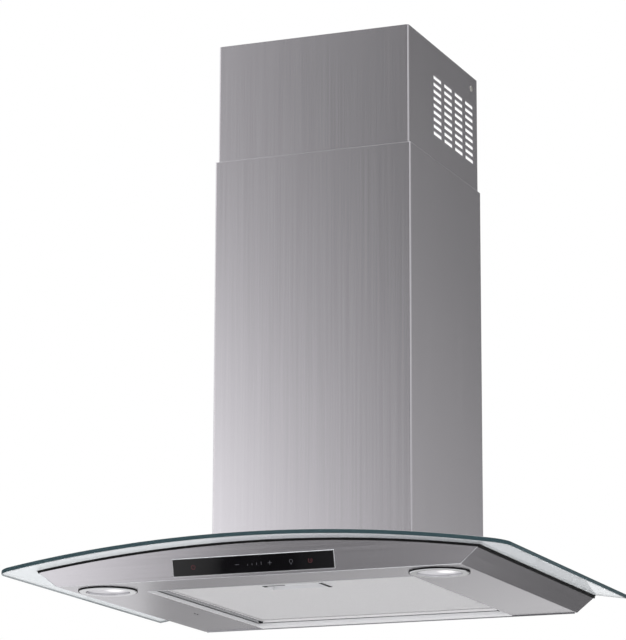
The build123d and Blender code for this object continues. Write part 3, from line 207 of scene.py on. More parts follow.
def float_glass():
    """Clear faces and a dark green edge."""
    finish, tree, shader, _ = start_finish("bent_float_glass")
    facing = add(tree, "ShaderNodeTexCoord").outputs["Normal"]
    up = add(tree, "ShaderNodeSeparateXYZ", {0: facing}).outputs["Z"]
    flat = add(tree, "ShaderNodeMath", {0: up}, operation="ABSOLUTE")
    face = add(tree, "ShaderNodeMapRange", {"Value": flat, "From Min": EDGE_TURN, "From Max": FACE_TURN},
               interpolation_type="SMOOTHSTEP")
    clear = add(tree, "ShaderNodeMapRange", {"Value": face, "To Min": EDGE_CLEAR, "To Max": FACE_CLEAR})
    # The faces' milky white share is painted reflection, for the pale veil of light on the glass.
    vary(tree, shader, face, ("#3A4D52", "#FAFDFF"), face, (0.16, 0.02),
         {"Transmission Weight": clear, "IOR": CLEAR_INDEX})
    return finish


def mottled(name, tones, rough, size, looks, detail=3.0, length=None, span=FULL_SPAN):
    """A surface whose tone and gloss vary together in patches of a given size."""
    finish, tree, shader, place = start_finish(name)
    patch = patches(tree, place, size, detail, length)
    vary(tree, shader, patch, tones, patch, rough, looks, span)
    return finish


canopy_finish = float_glass()
panel_finish = mottled("black_backed_glass", ("#050406", "#0D0B10"), (0.04, 0.10), SMEAR_SIZE, {"IOR": 1.65},
                       detail=4.0, span=NOISE_SPAN)
print("glass finishes:", canopy_finish.name, panel_finish.name)

# %% [markdown]
# ## The other metals
# Galvanised sheet shows flat crystals of zinc, called spangle, that catch the light differently: a cell
# pattern with its own tone in each cell. Mill finish aluminium has soft rolling lines along X, and the
# filter's anodised aluminium is pale, soft and a little milky. Laminated cores show thin stacked plates
# across the fan axis, and plated or ground pieces are smooth with a little unevenness.

# %% Sheet metal, aluminium and plated parts
SPANGLE_SIZE = 9 * MM
ROLL_LINE = 1.5 * MM
ROLL_LENGTH = 60 * MM
LAMINATION = 1.0 * MM
WAVE_BAND = math.pi / 10
METAL = {"Metallic": 1.0}


def galvanised_sheet():
    """Zinc crystals, each with its own tone and gloss."""
    finish, tree, shader, place = start_finish("galvanised_steel")
    cells = add(tree, "ShaderNodeTexVoronoi", {"Vector": place, "Scale": 1 / SPANGLE_SIZE})
    tone = add(tree, "ShaderNodeSeparateColor", {0: cells.outputs["Color"]}).outputs
    vary(tree, shader, tone[0], ("#A3A8AC", "#BFC4C8"), tone[1], (0.30, 0.48), METAL)
    return finish


def laminated_core():
    """Stacked electrical steel plates. At scale 1 a band of the wave texture is as wide as WAVE_BAND."""
    finish, tree, shader, place = start_finish("laminated_electrical_steel")
    waves = add(tree, "ShaderNodeTexWave",
                {"Vector": place, "Scale": WAVE_BAND / LAMINATION, "Distortion": 0.3}, bands_direction="X")
    plates = waves.outputs["Fac"]
    ridge = add(tree, "ShaderNodeBump", {"Strength": 0.4, "Distance": 0.1 * MM, "Height": plates})
    vary(tree, shader, plates, ("#4B4A4C", "#8A898C"), plates, (0.42, 0.42), {**METAL, "Normal": ridge})
    return finish


galvanised = galvanised_sheet()
aluminium = mottled("mill_finish_aluminium", ("#D2D1D4", "#E6E5E8"), (0.30, 0.46), ROLL_LINE, METAL,
                    detail=2.0, length=ROLL_LENGTH)
anodised = mottled("satin_anodised_aluminium", ("#ECEBEC", "#FAF9FA"), (0.36, 0.52), 2 * MM,
                   {"Metallic": 0.4})
lamp_chrome = mottled("satin_chrome_plate", ("#D2D2D5", "#E4E4E6"), (0.10, 0.20), 6 * MM, METAL)
bright_zinc = mottled("bright_zinc_plate", ("#BBBAB4", "#D3D2CC"), (0.22, 0.36), 2 * MM, METAL)
spring_wire = mottled("hardened_spring_steel", ("#75777B", "#8F9194"), (0.25, 0.38), 1.5 * MM, METAL)
ground_steel = mottled("ground_shaft_steel", ("#8E8E92", "#A6A6A9"), (0.18, 0.28), 1 * MM, METAL)
black_pin = mottled("blackened_pin_steel", ("#28282B", "#3A3A3D"), (0.30, 0.45), 1 * MM, METAL)
core_steel = laminated_core()
print("first and last metal finish:", galvanised.name, core_steel.name)

# %% [markdown]
# ## Plastics, rubber and paint
# Moulded plastic takes the fine spark-eroded texture of its mould, rubber is dull with a faint bloom, and
# baked paint has a slight orange peel. All three are the same idea at different sizes: a fine noise for
# the bump and the gloss, and a broad one for a slight change of tone.

# %% Plastics, rubber and paint
BLOOM_SIZE = 40 * MM
BOARD_CELL = 12 * MM


def moulded(name, tones, rough, grain, relief, ior=1.5):
    """A moulded or coated surface with a texture of a given grain size and relief."""
    finish, tree, shader, place = start_finish(name)
    fine = patches(tree, place, grain, detail=2.0)
    broad = patches(tree, place, BLOOM_SIZE, detail=2.0)
    texture = add(tree, "ShaderNodeBump", {"Strength": 0.25, "Distance": relief, "Height": fine})
    vary(tree, shader, broad, tones, fine, rough, {"Normal": texture, "IOR": ior})
    return finish


def circuit_board():
    """Green solder mask over copper tracks, drawn as a grid of runs a quarter of a cell apart."""
    finish, tree, shader, place = start_finish("solder_masked_board")
    tracks = add(tree, "ShaderNodeTexBrick", {
        "Vector": place, "Scale": 1 / BOARD_CELL, "Mortar Size": 0.06, "Brick Width": 0.9,
        "Row Height": 0.25, "Color1": linear("#1E5A38"), "Color2": linear("#236440"),
        "Mortar": linear("#3B8A5C")})
    connect(tree, shader, {"Base Color": tracks.outputs["Color"], "Roughness": 0.38})
    return finish


rubber = moulded("extruded_rubber", ("#070708", "#0E0E10"), (0.65, 0.80), 0.8 * MM, 0.05 * MM, 1.3)
black_abs = moulded("black_moulded_abs", ("#1F1F21", "#2A2A2C"), (0.42, 0.58), 0.9 * MM, 0.05 * MM)
grey_abs = moulded("grey_moulded_abs", ("#E1E1E3", "#EAEAEC"), (0.36, 0.50), 0.9 * MM, 0.04 * MM)
# The white enamel is painted highlight: it stands for the light on the lip of the filter opening.
lip_highlight_enamel = moulded("white_baked_enamel", ("#F5F5F7", "#FCFCFD"), (0.28, 0.40), 2.5 * MM, 0.04 * MM)
white_nylon = moulded("white_moulded_nylon", ("#DDDCD6", "#E9E8E3"), (0.34, 0.46), 0.7 * MM, 0.03 * MM)
motor_paint = moulded("grey_baked_paint", ("#4C4F54", "#5A5D62"), (0.30, 0.42), 2.5 * MM, 0.05 * MM)
lead_pvc = moulded("grey_lead_pvc", ("#C9C8C3", "#D9D8D4"), (0.38, 0.50), 0.6 * MM, 0.02 * MM)
board_finish = circuit_board()
print("first and last moulded finish:", rubber.name, lead_pvc.name)

# %% [markdown]
# ## Lamp diffuser
# Each spot lamp has a frosted polycarbonate disc over one diode and its reflector. It is pale, brightest
# where the diode sits behind it. A crescent at the front is painted shade: the colour darkens there to stand
# for the shadow of the lamp's rim. Object coordinates start at the origin for both lamps, so distances are
# measured from each lamp's middle.

# %% Frosted diffuser
GLOW_RADIUS = 14 * MM
GLOW_OFFSET = Vector((7.5, 3, 0)) * MM
GLOW_STRENGTH = 0.8
SHADE_CRESCENT_OFFSET = Vector((1.5, 4.5, 0)) * MM
SHADE_CRESCENT_RADIUS = 26 * MM
SHADE_CRESCENT_BLUR = 2 * MM
FROST_SIZE = 1.2 * MM


def diffuser(name, middle):
    """Frosted polycarbonate that glows softly at the diode, with a crescent of painted shade at the front.
    """
    finish, tree, shader, place = start_finish(name)
    off = add(tree, "ShaderNodeVectorMath", {0: place, 1: middle + GLOW_OFFSET}, operation="DISTANCE")
    glow = add(tree, "ShaderNodeMapRange", {"Value": off.outputs["Value"], "From Max": GLOW_RADIUS,
                                            "To Min": GLOW_STRENGTH, "To Max": 0.0},
               interpolation_type="SMOOTHSTEP")
    # Painted shade: a dark crescent near the front of the disc, for the shadow of the lamp's rim.
    away = add(tree, "ShaderNodeVectorMath", {0: place, 1: middle + SHADE_CRESCENT_OFFSET}, operation="DISTANCE")
    painted_shade_crescent = add(tree, "ShaderNodeMapRange", {"Value": away.outputs["Value"], "From Min": SHADE_CRESCENT_RADIUS,
                                            "From Max": SHADE_CRESCENT_RADIUS + SHADE_CRESCENT_BLUR},
               interpolation_type="SMOOTHSTEP")
    frost = patches(tree, place, FROST_SIZE, detail=2.0)
    pale = add(tree, "ShaderNodeMix", {0: frost, 6: linear("#DDDBDF"), 7: linear("#EAE8EC")},
               data_type="RGBA")
    colour = add(tree, "ShaderNodeMix", {0: painted_shade_crescent, 6: pale.outputs[2], 7: linear("#6A686D")},
                 data_type="RGBA")
    connect(tree, shader, {"Base Color": colour.outputs[2], "Roughness": 0.32, "IOR": 1.58,
                           "Emission Color": linear("#FFFDF8"), "Emission Strength": glow})
    return finish


print("glow radius in mm:", GLOW_RADIUS / MM)

# %% [markdown]
# ## Dress the CAD nodes
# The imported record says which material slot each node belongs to. Most slots take one finish. The
# stainless sheets differ only in the way their grain runs, which follows how each sheet was cut and
# folded, and each lamp has a diffuser of its own.

# %% Give every node its finish
SIDES = ("left", "right")
slot_finish = {
    "stainless_sheet": steel_across,
    "galvanised_sheet": galvanised,
    "canopy_glass": canopy_finish,
    "gasket_rubber": rubber,
    "panel_glass": panel_finish,
    "black_plastic": black_abs,
    "circuit_board": board_finish,
    "lamp_chrome": lamp_chrome,
    "bare_aluminium": aluminium,
    "grey_plastic": grey_abs,
    "white_nylon": white_nylon,
    "spring_steel": spring_wire,
    "plain_steel": ground_steel,
    "zinc_screws": bright_zinc,
    "motor_steel": motor_paint,
    "laminated_steel": core_steel,
    "lead_pvc": lead_pvc,
}
node_finish = {
    "lower_chimney_cover": steel_upright,
    "upper_chimney_cover": steel_upright,
    "side_fascia_left": steel_fore_aft,
    "side_fascia_right": steel_fore_aft,
    "filter_hinge_pins": black_pin,
    "filter_frame": anodised,
    "filter_layers": anodised,
}
for side in SIDES:
    low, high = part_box(f"lamp_lens_{side}")
    node_finish[f"lamp_lens_{side}"] = diffuser(f"frosted_polycarbonate_{side}", (low + high) / 2)


def dress(piece, finish):
    """Give a piece one finish in its only material slot."""
    piece.data.materials.clear()
    piece.data.materials.append(finish)


node_slot = {part["node"]: part["material_slot"] for part in frame["record"]["subparts"]}
for name, piece in nodes.items():
    dress(piece, node_finish.get(name) or slot_finish[node_slot[name]])
print("dressed nodes:", len(nodes))

# %% [markdown]
# ## Helpers for new pieces
# A new piece is a plain mesh at the origin, with its place in its vertices, and it rides on a CAD body.
# Its mesh is filled by a function, and where the two have one name, the function names the piece.

# %% Piece helpers


def put(name, data):
    """A new object at the origin, in the scene."""
    thing = bpy.data.objects.new(name, data)
    bpy.context.scene.collection.objects.link(thing)
    return thing


def make_piece(name, mesh, body, finish=None):
    """Put a mesh in the scene as a piece of the hood."""
    piece = put(name, mesh)
    if finish:
        dress(piece, finish)
    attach(piece, body)
    return piece


def mesh_from(name, build):
    """A mesh that a function fills, with its faces turned outwards."""
    mesh = bpy.data.meshes.new(name)
    work = bmesh.new()
    build(work)
    bmesh.ops.recalc_face_normals(work, faces=work.faces)
    work.to_mesh(mesh)
    work.free()
    return mesh


def build_piece(build, body, finish):
    """A piece that is named after the function that builds it."""
    name = build.__name__
    print("piece:", name, "on", body)
    return make_piece(name, mesh_from(name, build), body, finish)


def wrap(work, rings):
    """Join each ring of points to the next with faces. A ring of one point closes to that point."""
    for near, far in zip(rings, rings[1:]):
        count = max(len(near), len(far))
        for i in range(count):
            j = (i + 1) % count
            corners = [near[i % len(near)], near[j % len(near)], far[j % len(far)], far[i % len(far)]]
            work.faces.new(list(dict.fromkeys(corners)))


def turned(work, profile, middle, steps=96):
    """Turn a profile of radius and height about a vertical axis. Ends on the axis close to a point."""
    turns = [2 * math.pi * i / steps for i in range(steps)]
    rings = []
    for radius, height in profile:
        used = turns if radius else turns[:1]
        places = [Vector((radius * math.cos(t), radius * math.sin(t), height)) for t in used]
        rings.append([work.verts.new(middle + place) for place in places])
    wrap(work, rings)


def bar(work, low, high):
    """A plain bar between two corners, as a part of a larger piece."""
    low, high = Vector(low), Vector(high)
    place = Matrix.Translation((low + high) / 2) @ Matrix.Diagonal((*(high - low), 1))
    bmesh.ops.create_cube(work, size=1, matrix=place)


print("piece helpers ready")

# %% [markdown]
# Geometry Nodes make what repeats. Each tree has named inputs, which the modifier sets by the socket's
# identifier. The result is turned into a plain mesh, because the exported model keeps no instances.

# %% Tree helpers


def start_tree(name, sizes):
    """A Geometry Nodes tree with named inputs, its group input, and its output node."""
    tree = bpy.data.node_groups.new(name, "GeometryNodeTree")
    tree.interface.new_socket("Geometry", in_out="INPUT", socket_type="NodeSocketGeometry")
    for label, kind in sizes.items():
        tree.interface.new_socket(label, in_out="INPUT", socket_type=kind)
    tree.interface.new_socket("Geometry", in_out="OUTPUT", socket_type="NodeSocketGeometry")
    return tree, add(tree, "NodeGroupInput").outputs, add(tree, "NodeGroupOutput")


def settled(thing):
    """The plain mesh that an object's modifiers make. The object itself is taken away."""
    seen = thing.evaluated_get(bpy.context.evaluated_depsgraph_get())
    mesh = bpy.data.meshes.new_from_object(seen)
    thing.modifiers.clear()
    bpy.data.objects.remove(thing)
    return mesh


def grow(name, base, tree, values):
    """Run a tree on a base mesh with the given inputs and return the plain mesh."""
    carrier = put(name, base)
    modifier = carrier.modifiers.new(name, "NODES")
    modifier.node_group = tree
    for item in tree.interface.items_tree:
        if item.item_type == "SOCKET" and item.in_out == "INPUT" and item.name in values:
            modifier[item.identifier] = values[item.name]
    mesh = settled(carrier)
    mesh.name = name
    print(name, "faces:", len(mesh.polygons))
    return mesh


print("tree helpers ready")

# %% [markdown]
# ## Grease filter mesh
# The filter's face is expanded metal: a sheet that is slit and pulled, so that zigzag strands meet at
# their peaks and leave diamonds. One zigzag strand is drawn from a line whose points step up and down in
# turn, and a second grid of rows repeats it, with every other row mirrored. The strands that would cross
# the finger pocket are cut away, and the pocket's rim covers their ends.

# %% Expanded mesh tree


def expanded_mesh_tree():
    """Rows of zigzag strands on a rectangle round a middle, with a rectangle left out."""
    lengths = ("Width", "Length", "Cell Width", "Cell Length", "Strand Width", "Thickness")
    places = ("Middle", "Pocket Middle", "Pocket Half")
    tree, given, result = start_tree("expanded_mesh", {
        **dict.fromkeys(lengths, "NodeSocketFloat"), **dict.fromkeys(places, "NodeSocketVector"),
        "Material": "NodeSocketMaterial"})
    half = add(tree, "ShaderNodeMath", {0: given["Width"], 1: 0.5}, operation="MULTIPLY")
    left = add(tree, "ShaderNodeMath", {0: half, 1: -1.0}, operation="MULTIPLY")
    start = add(tree, "ShaderNodeCombineXYZ", {"X": left})
    end = add(tree, "ShaderNodeCombineXYZ", {"X": half})
    line = add(tree, "GeometryNodeCurvePrimitiveLine", {"Start": start, "End": end})
    cells = add(tree, "ShaderNodeMath", {0: given["Width"], 1: given["Cell Width"]}, operation="DIVIDE")
    points = add(tree, "ShaderNodeMath", {0: cells, 1: 2.0, 2: 1.0}, operation="MULTIPLY_ADD")
    strand = add(tree, "GeometryNodeResampleCurve", {"Curve": line, "Count": points}, keep_last_segment=True)
    index = add(tree, "GeometryNodeInputIndex")
    odd = add(tree, "ShaderNodeMath", {0: index, 1: 2.0}, operation="FLOORED_MODULO")
    sway = add(tree, "ShaderNodeMath", {0: odd, 1: 0.5, 2: -0.25}, operation="MULTIPLY_ADD")
    reach = add(tree, "ShaderNodeMath", {0: sway, 1: given["Cell Length"]}, operation="MULTIPLY")
    step = add(tree, "ShaderNodeCombineXYZ", {"Y": reach})
    zigzag = add(tree, "GeometryNodeSetPosition", {"Geometry": strand, "Offset": step})
    section = add(tree, "GeometryNodeCurvePrimitiveQuadrilateral",
                  {"Width": given["Strand Width"], "Height": given["Thickness"]})
    wire = add(tree, "GeometryNodeCurveToMesh",
               {"Curve": zigzag, "Profile Curve": section, "Fill Caps": True})
    pitch = add(tree, "ShaderNodeMath", {0: given["Cell Length"], 1: 0.5}, operation="MULTIPLY")
    rows = add(tree, "ShaderNodeMath", {0: given["Length"], 1: pitch}, operation="DIVIDE")
    grid = add(tree, "GeometryNodeMeshGrid",
               {"Size X": 0.0, "Size Y": given["Length"], "Vertices X": 1, "Vertices Y": rows})
    column = add(tree, "GeometryNodeMeshToPoints", {"Mesh": grid})
    mirror = add(tree, "ShaderNodeMath", {0: odd, 1: math.pi}, operation="MULTIPLY")
    turn = add(tree, "ShaderNodeCombineXYZ", {"X": mirror})
    copies = add(tree, "GeometryNodeInstanceOnPoints",
                 {"Points": column, "Instance": wire, "Rotation": turn})
    sheet = add(tree, "GeometryNodeRealizeInstances", {"Geometry": copies})
    moved = add(tree, "GeometryNodeTransform", {"Geometry": sheet, "Translation": given["Middle"]})
    spot = add(tree, "GeometryNodeInputPosition")
    offset = add(tree, "ShaderNodeVectorMath", {0: spot, 1: given["Pocket Middle"]}, operation="SUBTRACT")
    away = add(tree, "ShaderNodeVectorMath", {0: offset}, operation="ABSOLUTE")
    inside = add(tree, "ShaderNodeVectorMath", {0: given["Pocket Half"], 1: away}, operation="SUBTRACT")
    depth = add(tree, "ShaderNodeSeparateXYZ", {0: inside}).outputs
    least = add(tree, "ShaderNodeMath", {0: depth["X"], 1: depth["Y"]}, operation="MINIMUM")
    in_pocket = add(tree, "FunctionNodeCompare", {0: least, 1: 0.0}, operation="GREATER_THAN")
    cut = add(tree, "GeometryNodeDeleteGeometry", {"Geometry": moved, "Selection": in_pocket}, domain="FACE")
    painted = add(tree, "GeometryNodeSetMaterial", {"Geometry": cut, "Material": given["Material"]})
    connect(tree, result, {0: painted})
    return tree


mesh_tree = expanded_mesh_tree()
print("mesh tree nodes:", len(mesh_tree.nodes))

# %% [markdown]
# The tree runs at the filter's real sizes. The strands fill the box of the CAD node that they stand for, and
# the pocket's place comes from the latch housing.

# %% Filter face
CELL_WIDTH = 8 * MM
CELL_LENGTH = 4 * MM
STRAND_WIDTH = 1.1 * MM
STRAND_THICKNESS = 0.7 * MM
POCKET_WIDTH = 70 * MM
POCKET_LENGTH = 30 * MM
POCKET_WALL = 1.2 * MM
mesh_low, mesh_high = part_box("filter_mesh")
pocket_low, pocket_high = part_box("latch_housing")
pocket_middle = Vector((0, pocket_high.y - POCKET_WALL - POCKET_LENGTH / 2, pocket_low.z))
pocket_half = Vector((POCKET_WIDTH / 2 + POCKET_WALL, POCKET_LENGTH / 2 + POCKET_WALL, 1))
mesh_size = mesh_high - mesh_low
filter_face = grow("filter_expanded_mesh", bpy.data.meshes.new("filter_base"), mesh_tree, {
    "Width": mesh_size.x, "Length": mesh_size.y - CELL_LENGTH, "Cell Width": CELL_WIDTH,
    "Cell Length": CELL_LENGTH, "Strand Width": STRAND_WIDTH, "Thickness": STRAND_THICKNESS,
    "Middle": (mesh_low + mesh_high) / 2, "Pocket Middle": pocket_middle, "Pocket Half": pocket_half,
    "Material": anodised,
})
face_piece = make_piece("filter_expanded_mesh", filter_face, "filter")
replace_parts(face_piece, "filter_mesh")

# %% [markdown]
# ## Screws
# Sheet metal is held by pan head screws with a cross recess. One screw is turned from a profile and its
# recess is cut with two crossed bars. A tree then puts a copy on each point of a base mesh, turned to the
# direction stored there, so a row of screws is only a row of points.

# %% One screw
HEAD_RADIUS = 3.6 * MM
HEAD_HEIGHT = 2.2 * MM
HEAD_RIM = 0.45
SHANK_RADIUS = 1.9 * MM
RECESS_WIDTH = 0.9 * MM
RECESS_REACH = 2.1 * MM
RECESS_DEPTH = 1.1 * MM


def screw_mesh(name, head_height, shank):
    """A pan head screw that points down, with its seat at the origin."""
    angles = [math.radians(15 * i) for i in range(6)]
    rim, dome = HEAD_RIM * head_height, (1 - HEAD_RIM) * head_height
    crown = [(HEAD_RADIUS * math.cos(a), rim + dome * math.sin(a)) for a in angles]
    profile = [(0, -shank), (SHANK_RADIUS * 0.8, -shank), (SHANK_RADIUS, -0.9 * shank), (SHANK_RADIUS, 0),
               (HEAD_RADIUS, 0), *crown, (0, head_height)]

    def crossed_bars(work):
        low = head_height - min(RECESS_DEPTH, 0.8 * head_height)
        for x, y in ((RECESS_REACH, RECESS_WIDTH / 2), (RECESS_WIDTH / 2, RECESS_REACH)):
            bar(work, (-x, -y, low), (x, y, 2 * head_height))

    screw = put(name, mesh_from(name, lambda work: turned(work, profile, Vector(), steps=24)))
    cutter = put(name + "_recess", mesh_from(name + "_recess", crossed_bars))
    cut = screw.modifiers.new("recess", "BOOLEAN")
    cut.object = cutter
    cut.use_self = True
    mesh = settled(screw)
    bpy.data.objects.remove(cutter)
    return mesh


print("screw head in mm:", round(2 * HEAD_RADIUS / MM, 1), "wide")

# %% [markdown]
# A set of screws takes its seats from the box of the CAD node that it stands for. Upright screws sit in the
# corners of the box, and the flat ones of the wall brackets face sideways on the chimney cover.

# %% Rows of screws
SHORT_SHANK = 4 * MM
LONG_SHANK = 5 * MM


def screw_tree():
    """A copy of one screw on each point, turned so that its head faces the stored direction."""
    inputs = {"Screw": "NodeSocketObject", "Material": "NodeSocketMaterial"}
    tree, given, result = start_tree("screw_set", inputs)
    points = add(tree, "GeometryNodeMeshToPoints", {"Mesh": given["Geometry"]})
    facing = add(tree, "GeometryNodeInputNamedAttribute", {"Name": "facing"}, data_type="FLOAT_VECTOR")
    turn = add(tree, "FunctionNodeAlignRotationToVector", {"Vector": facing}, axis="Z")
    screw = add(tree, "GeometryNodeObjectInfo", {"Object": given["Screw"]}).outputs["Geometry"]
    copies = add(tree, "GeometryNodeInstanceOnPoints",
                 {"Points": points, "Instance": screw, "Rotation": turn})
    real = add(tree, "GeometryNodeRealizeInstances", {"Geometry": copies})
    painted = add(tree, "GeometryNodeSetMaterial", {"Geometry": real, "Material": given["Material"]})
    connect(tree, result, {0: painted})
    return tree


def place_screws(name, tree, node, seats, body, head_height, shank):
    """Screws at the given seats, each a place and the way its head faces, that stand for a CAD node."""
    base = bpy.data.meshes.new(name + "_base")
    base.from_pydata([place for place, _ in seats], [], [])
    stored = base.attributes.new("facing", "FLOAT_VECTOR", "POINT")
    for item, (_, way) in zip(stored.data, seats):
        item.vector = way
    pattern = bpy.data.objects.new(name + "_pattern", screw_mesh(name + "_pattern", head_height, shank))
    mesh = grow(name, base, tree, {"Screw": pattern, "Material": bright_zinc})
    bpy.data.objects.remove(pattern)
    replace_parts(make_piece(name, mesh, body), node)


def corner_seats(node):
    """Seats of upright screws in the four corners of a node's box."""
    low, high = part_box(node)
    columns = (low.x + HEAD_RADIUS, high.x - HEAD_RADIUS)
    rows = (low.y + HEAD_RADIUS, high.y - HEAD_RADIUS)
    return [(Vector((x, y, high.z - HEAD_HEIGHT)), Vector((0, 0, 1))) for x in columns for y in rows]


screws = screw_tree()
for name, node, shank in (("spigot_pan_screws", "spigot_screws", SHORT_SHANK),
                          ("scroll_pan_screws", "scroll_screws", LONG_SHANK)):
    place_screws(name, screws, node, corner_seats(node), "hood", HEAD_HEIGHT, shank)
screw_low, screw_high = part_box("bracket_screws")
cover_low, cover_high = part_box("upper_chimney_cover")
FLAT_HEAD = cover_low.x - screw_low.x
middle_y, middle_z = (screw_low.y + screw_high.y) / 2, (screw_low.z + screw_high.z) / 2
seats = [(Vector((side * cover_high.x, middle_y, middle_z)), Vector((side, 0, 0))) for side in (-1, 1)]
place_screws("bracket_flat_screws", screws, "bracket_screws", seats, "upper_cover", FLAT_HEAD, SHORT_SHANK)

# %% [markdown]
# ## Touch panel
# The black glass sits flush in a window of the leaning fascia, inside a slim polished rim. Its signs glow
# through the glass: power and timer in red, and minus, four level bars, plus and lamp in white. They are
# thin flat shapes, drawn on the panel's own plane and then leaned back with it.

# %% Panel plane
FACE_TOLERANCE = 0.1 * MM
panel_glass_mesh = nodes["control_panel_glass"].data
outward = max(panel_glass_mesh.polygons, key=lambda face: face.area * (face.normal.y < 0)).normal.copy()
across = Vector((1, 0, 0))
upward = outward.cross(across)
panel_points = [vertex.co for vertex in panel_glass_mesh.vertices]
front = max(co.dot(outward) for co in panel_points)
face_points = [co for co in panel_points if co.dot(outward) > front - FACE_TOLERANCE]
spans = [[way.dot(co) for co in face_points] for way in (across, upward)]
panel_width, panel_height = (max(span) - min(span) for span in spans)
panel_middle = outward * front
for way, span in zip((across, upward), spans):
    panel_middle += way * (max(span) + min(span)) / 2
panel_plane = Matrix((across, upward, outward)).transposed().to_4x4()
panel_plane.translation = panel_middle
print("panel in mm:", round(panel_width / MM, 1), "x", round(panel_height / MM, 1))

# %% [markdown]
# The rim is one closed frame of four mitred strips with a sloped outer face. It covers the gap between the
# glass and the sheet.

# %% Panel rim
RIM_WIDTH = 1.0 * MM
RIM_PROUD = 0.35 * MM
RIM_GAP = 0.3 * MM
RIM_OVERLAP = 0.1 * MM
RIM_FLAT = 0.6


def panel_rim(work):
    """Four mitred strips round the glass, as one closed frame."""
    half_x, half_y = panel_width / 2 + RIM_GAP, panel_height / 2 + RIM_GAP
    corners = ((-1, -1), (1, -1), (1, 1), (-1, 1))
    section = ((-RIM_OVERLAP, 0), (0, RIM_PROUD), (RIM_WIDTH * RIM_FLAT, RIM_PROUD), (RIM_WIDTH, 0))
    rings = [[work.verts.new((sx * (half_x + out), sy * (half_y + out), height)) for sx, sy in corners]
             for out, height in section]
    wrap(work, rings + rings[:1])
    bmesh.ops.transform(work, matrix=panel_plane, verts=work.verts)


build_piece(panel_rim, "hood", steel_edge)

# %% [markdown]
# Each sign is built from a few strips: straight ones between two points, and arcs. A strip has a width and
# stands a tenth of a millimetre proud of the glass, so that it prints cleanly.

# %% Strips and arcs
STROKE = 0.55 * MM
SIGN_PROUD = 0.12 * MM


def ways(points):
    """The direction of travel at each point of a line."""
    ends = [points[0], *points, points[-1]]
    return [(after - before).normalized() for before, after in zip(ends, ends[2:])]


def cap(work, rings):
    """Close both ends of a row of rings."""
    work.faces.new(rings[0])
    work.faces.new(rings[-1])


def strip(work, *places):
    """A flat strip of one stroke width along points on the panel."""
    points = [Vector(place) for place in places]
    rings = []
    for point, way in zip(points, ways(points)):
        square = Vector((-way.y, way.x)) * STROKE / 2
        low, high = point - square, point + square
        ring = ((*low, 0), (*high, 0), (*high, SIGN_PROUD), (*low, SIGN_PROUD))
        rings.append([work.verts.new(corner) for corner in ring])
    wrap(work, rings)
    cap(work, rings)


def arc(x, radius, first, last, rise=0.0, steps=20):
    """Points along an arc about a place on the panel, between two angles in degrees."""
    turns = [math.radians(first + (last - first) * i / steps) for i in range(steps + 1)]
    return [(x + radius * math.cos(t), rise + radius * math.sin(t)) for t in turns]


print("stroke in mm:", round(STROKE / MM, 2))

# %% [markdown]
# The signs stand in one row, at places measured along the panel from its middle. Their light comes through a
# printed mask, so it is a little uneven.

# %% Panel signs
SIGN_SIZE = 2.3 * MM
MASK_GRAIN = 2 * MM
POWER_X = -70.9 * MM
MINUS_X = -18.6 * MM
BARS_X = -6.2 * MM
BAR_STEP = 5.4 * MM
BAR_FOOT = -1.6 * MM
BAR_TOP = -0.4 * MM
BAR_GROWTH = 0.7 * MM
PLUS_X = 20.1 * MM
BULB_X = 45.1 * MM
BULB_RADIUS = 0.8 * SIGN_SIZE
BULB_RISE = 0.4 * MM
SOCKET_HALF = 0.8 * MM
SOCKET_LINES = (-1.9 * MM, -2.7 * MM)
TIMER_X = 67.6 * MM


def panel_red_signs(work):
    """Power at the left end and timer at the right end."""
    for x in (POWER_X, TIMER_X):
        strip(work, *arc(x, SIGN_SIZE, first=125, last=415))
    strip(work, (POWER_X, 0), (POWER_X, 1.2 * SIGN_SIZE))
    strip(work, (TIMER_X, 0.6 * SIGN_SIZE), (TIMER_X, 0), (TIMER_X + 0.5 * SIGN_SIZE, -0.3 * SIGN_SIZE))
    bmesh.ops.transform(work, matrix=panel_plane, verts=work.verts)


def panel_white_signs(work):
    """Minus, four level bars, plus and lamp, from left to right."""
    for x in (MINUS_X, PLUS_X):
        strip(work, (x - SIGN_SIZE, 0), (x + SIGN_SIZE, 0))
    for end in (-1, 1):
        strip(work, (PLUS_X, end * STROKE / 2), (PLUS_X, end * SIGN_SIZE))
    for i in range(4):
        x = BARS_X + BAR_STEP * i
        strip(work, (x, BAR_FOOT), (x, BAR_TOP + BAR_GROWTH * i))
    strip(work, *arc(BULB_X, BULB_RADIUS, first=-60, last=240, rise=BULB_RISE))
    for rise in SOCKET_LINES:
        strip(work, (BULB_X - SOCKET_HALF, rise), (BULB_X + SOCKET_HALF, rise))
    bmesh.ops.transform(work, matrix=panel_plane, verts=work.verts)


def lit_sign(name, colour, strength):
    """Light that comes through a printed mask, a little uneven."""
    finish, tree, shader, place = start_finish(name)
    uneven = patches(tree, place, MASK_GRAIN, detail=2.0)
    level = add(tree, "ShaderNodeMapRange", {"Value": uneven, "To Min": 0.6 * strength, "To Max": strength})
    connect(tree, shader, {"Base Color": linear(colour), "Roughness": 0.4, "Emission Color": linear(colour),
                           "Emission Strength": level})
    return finish


build_piece(panel_red_signs, "hood", lit_sign("red_lit_mask", "#4E161D", 0.35))
build_piece(panel_white_signs, "hood", lit_sign("white_lit_mask", "#46464C", 0.28))

# %% [markdown]
# ## Lamp lenses
# The disc over each lamp is a shallow moulded lens: a low dome in the middle, and fine rings round it that
# spread the light. The profile is one formula, turned about the lamp's middle, and stays inside the CAD
# disc.

# %% Ringed lenses
LENS_RINGS = 7
RING_DEPTH = 0.35 * MM
LENS_POINTS = 84


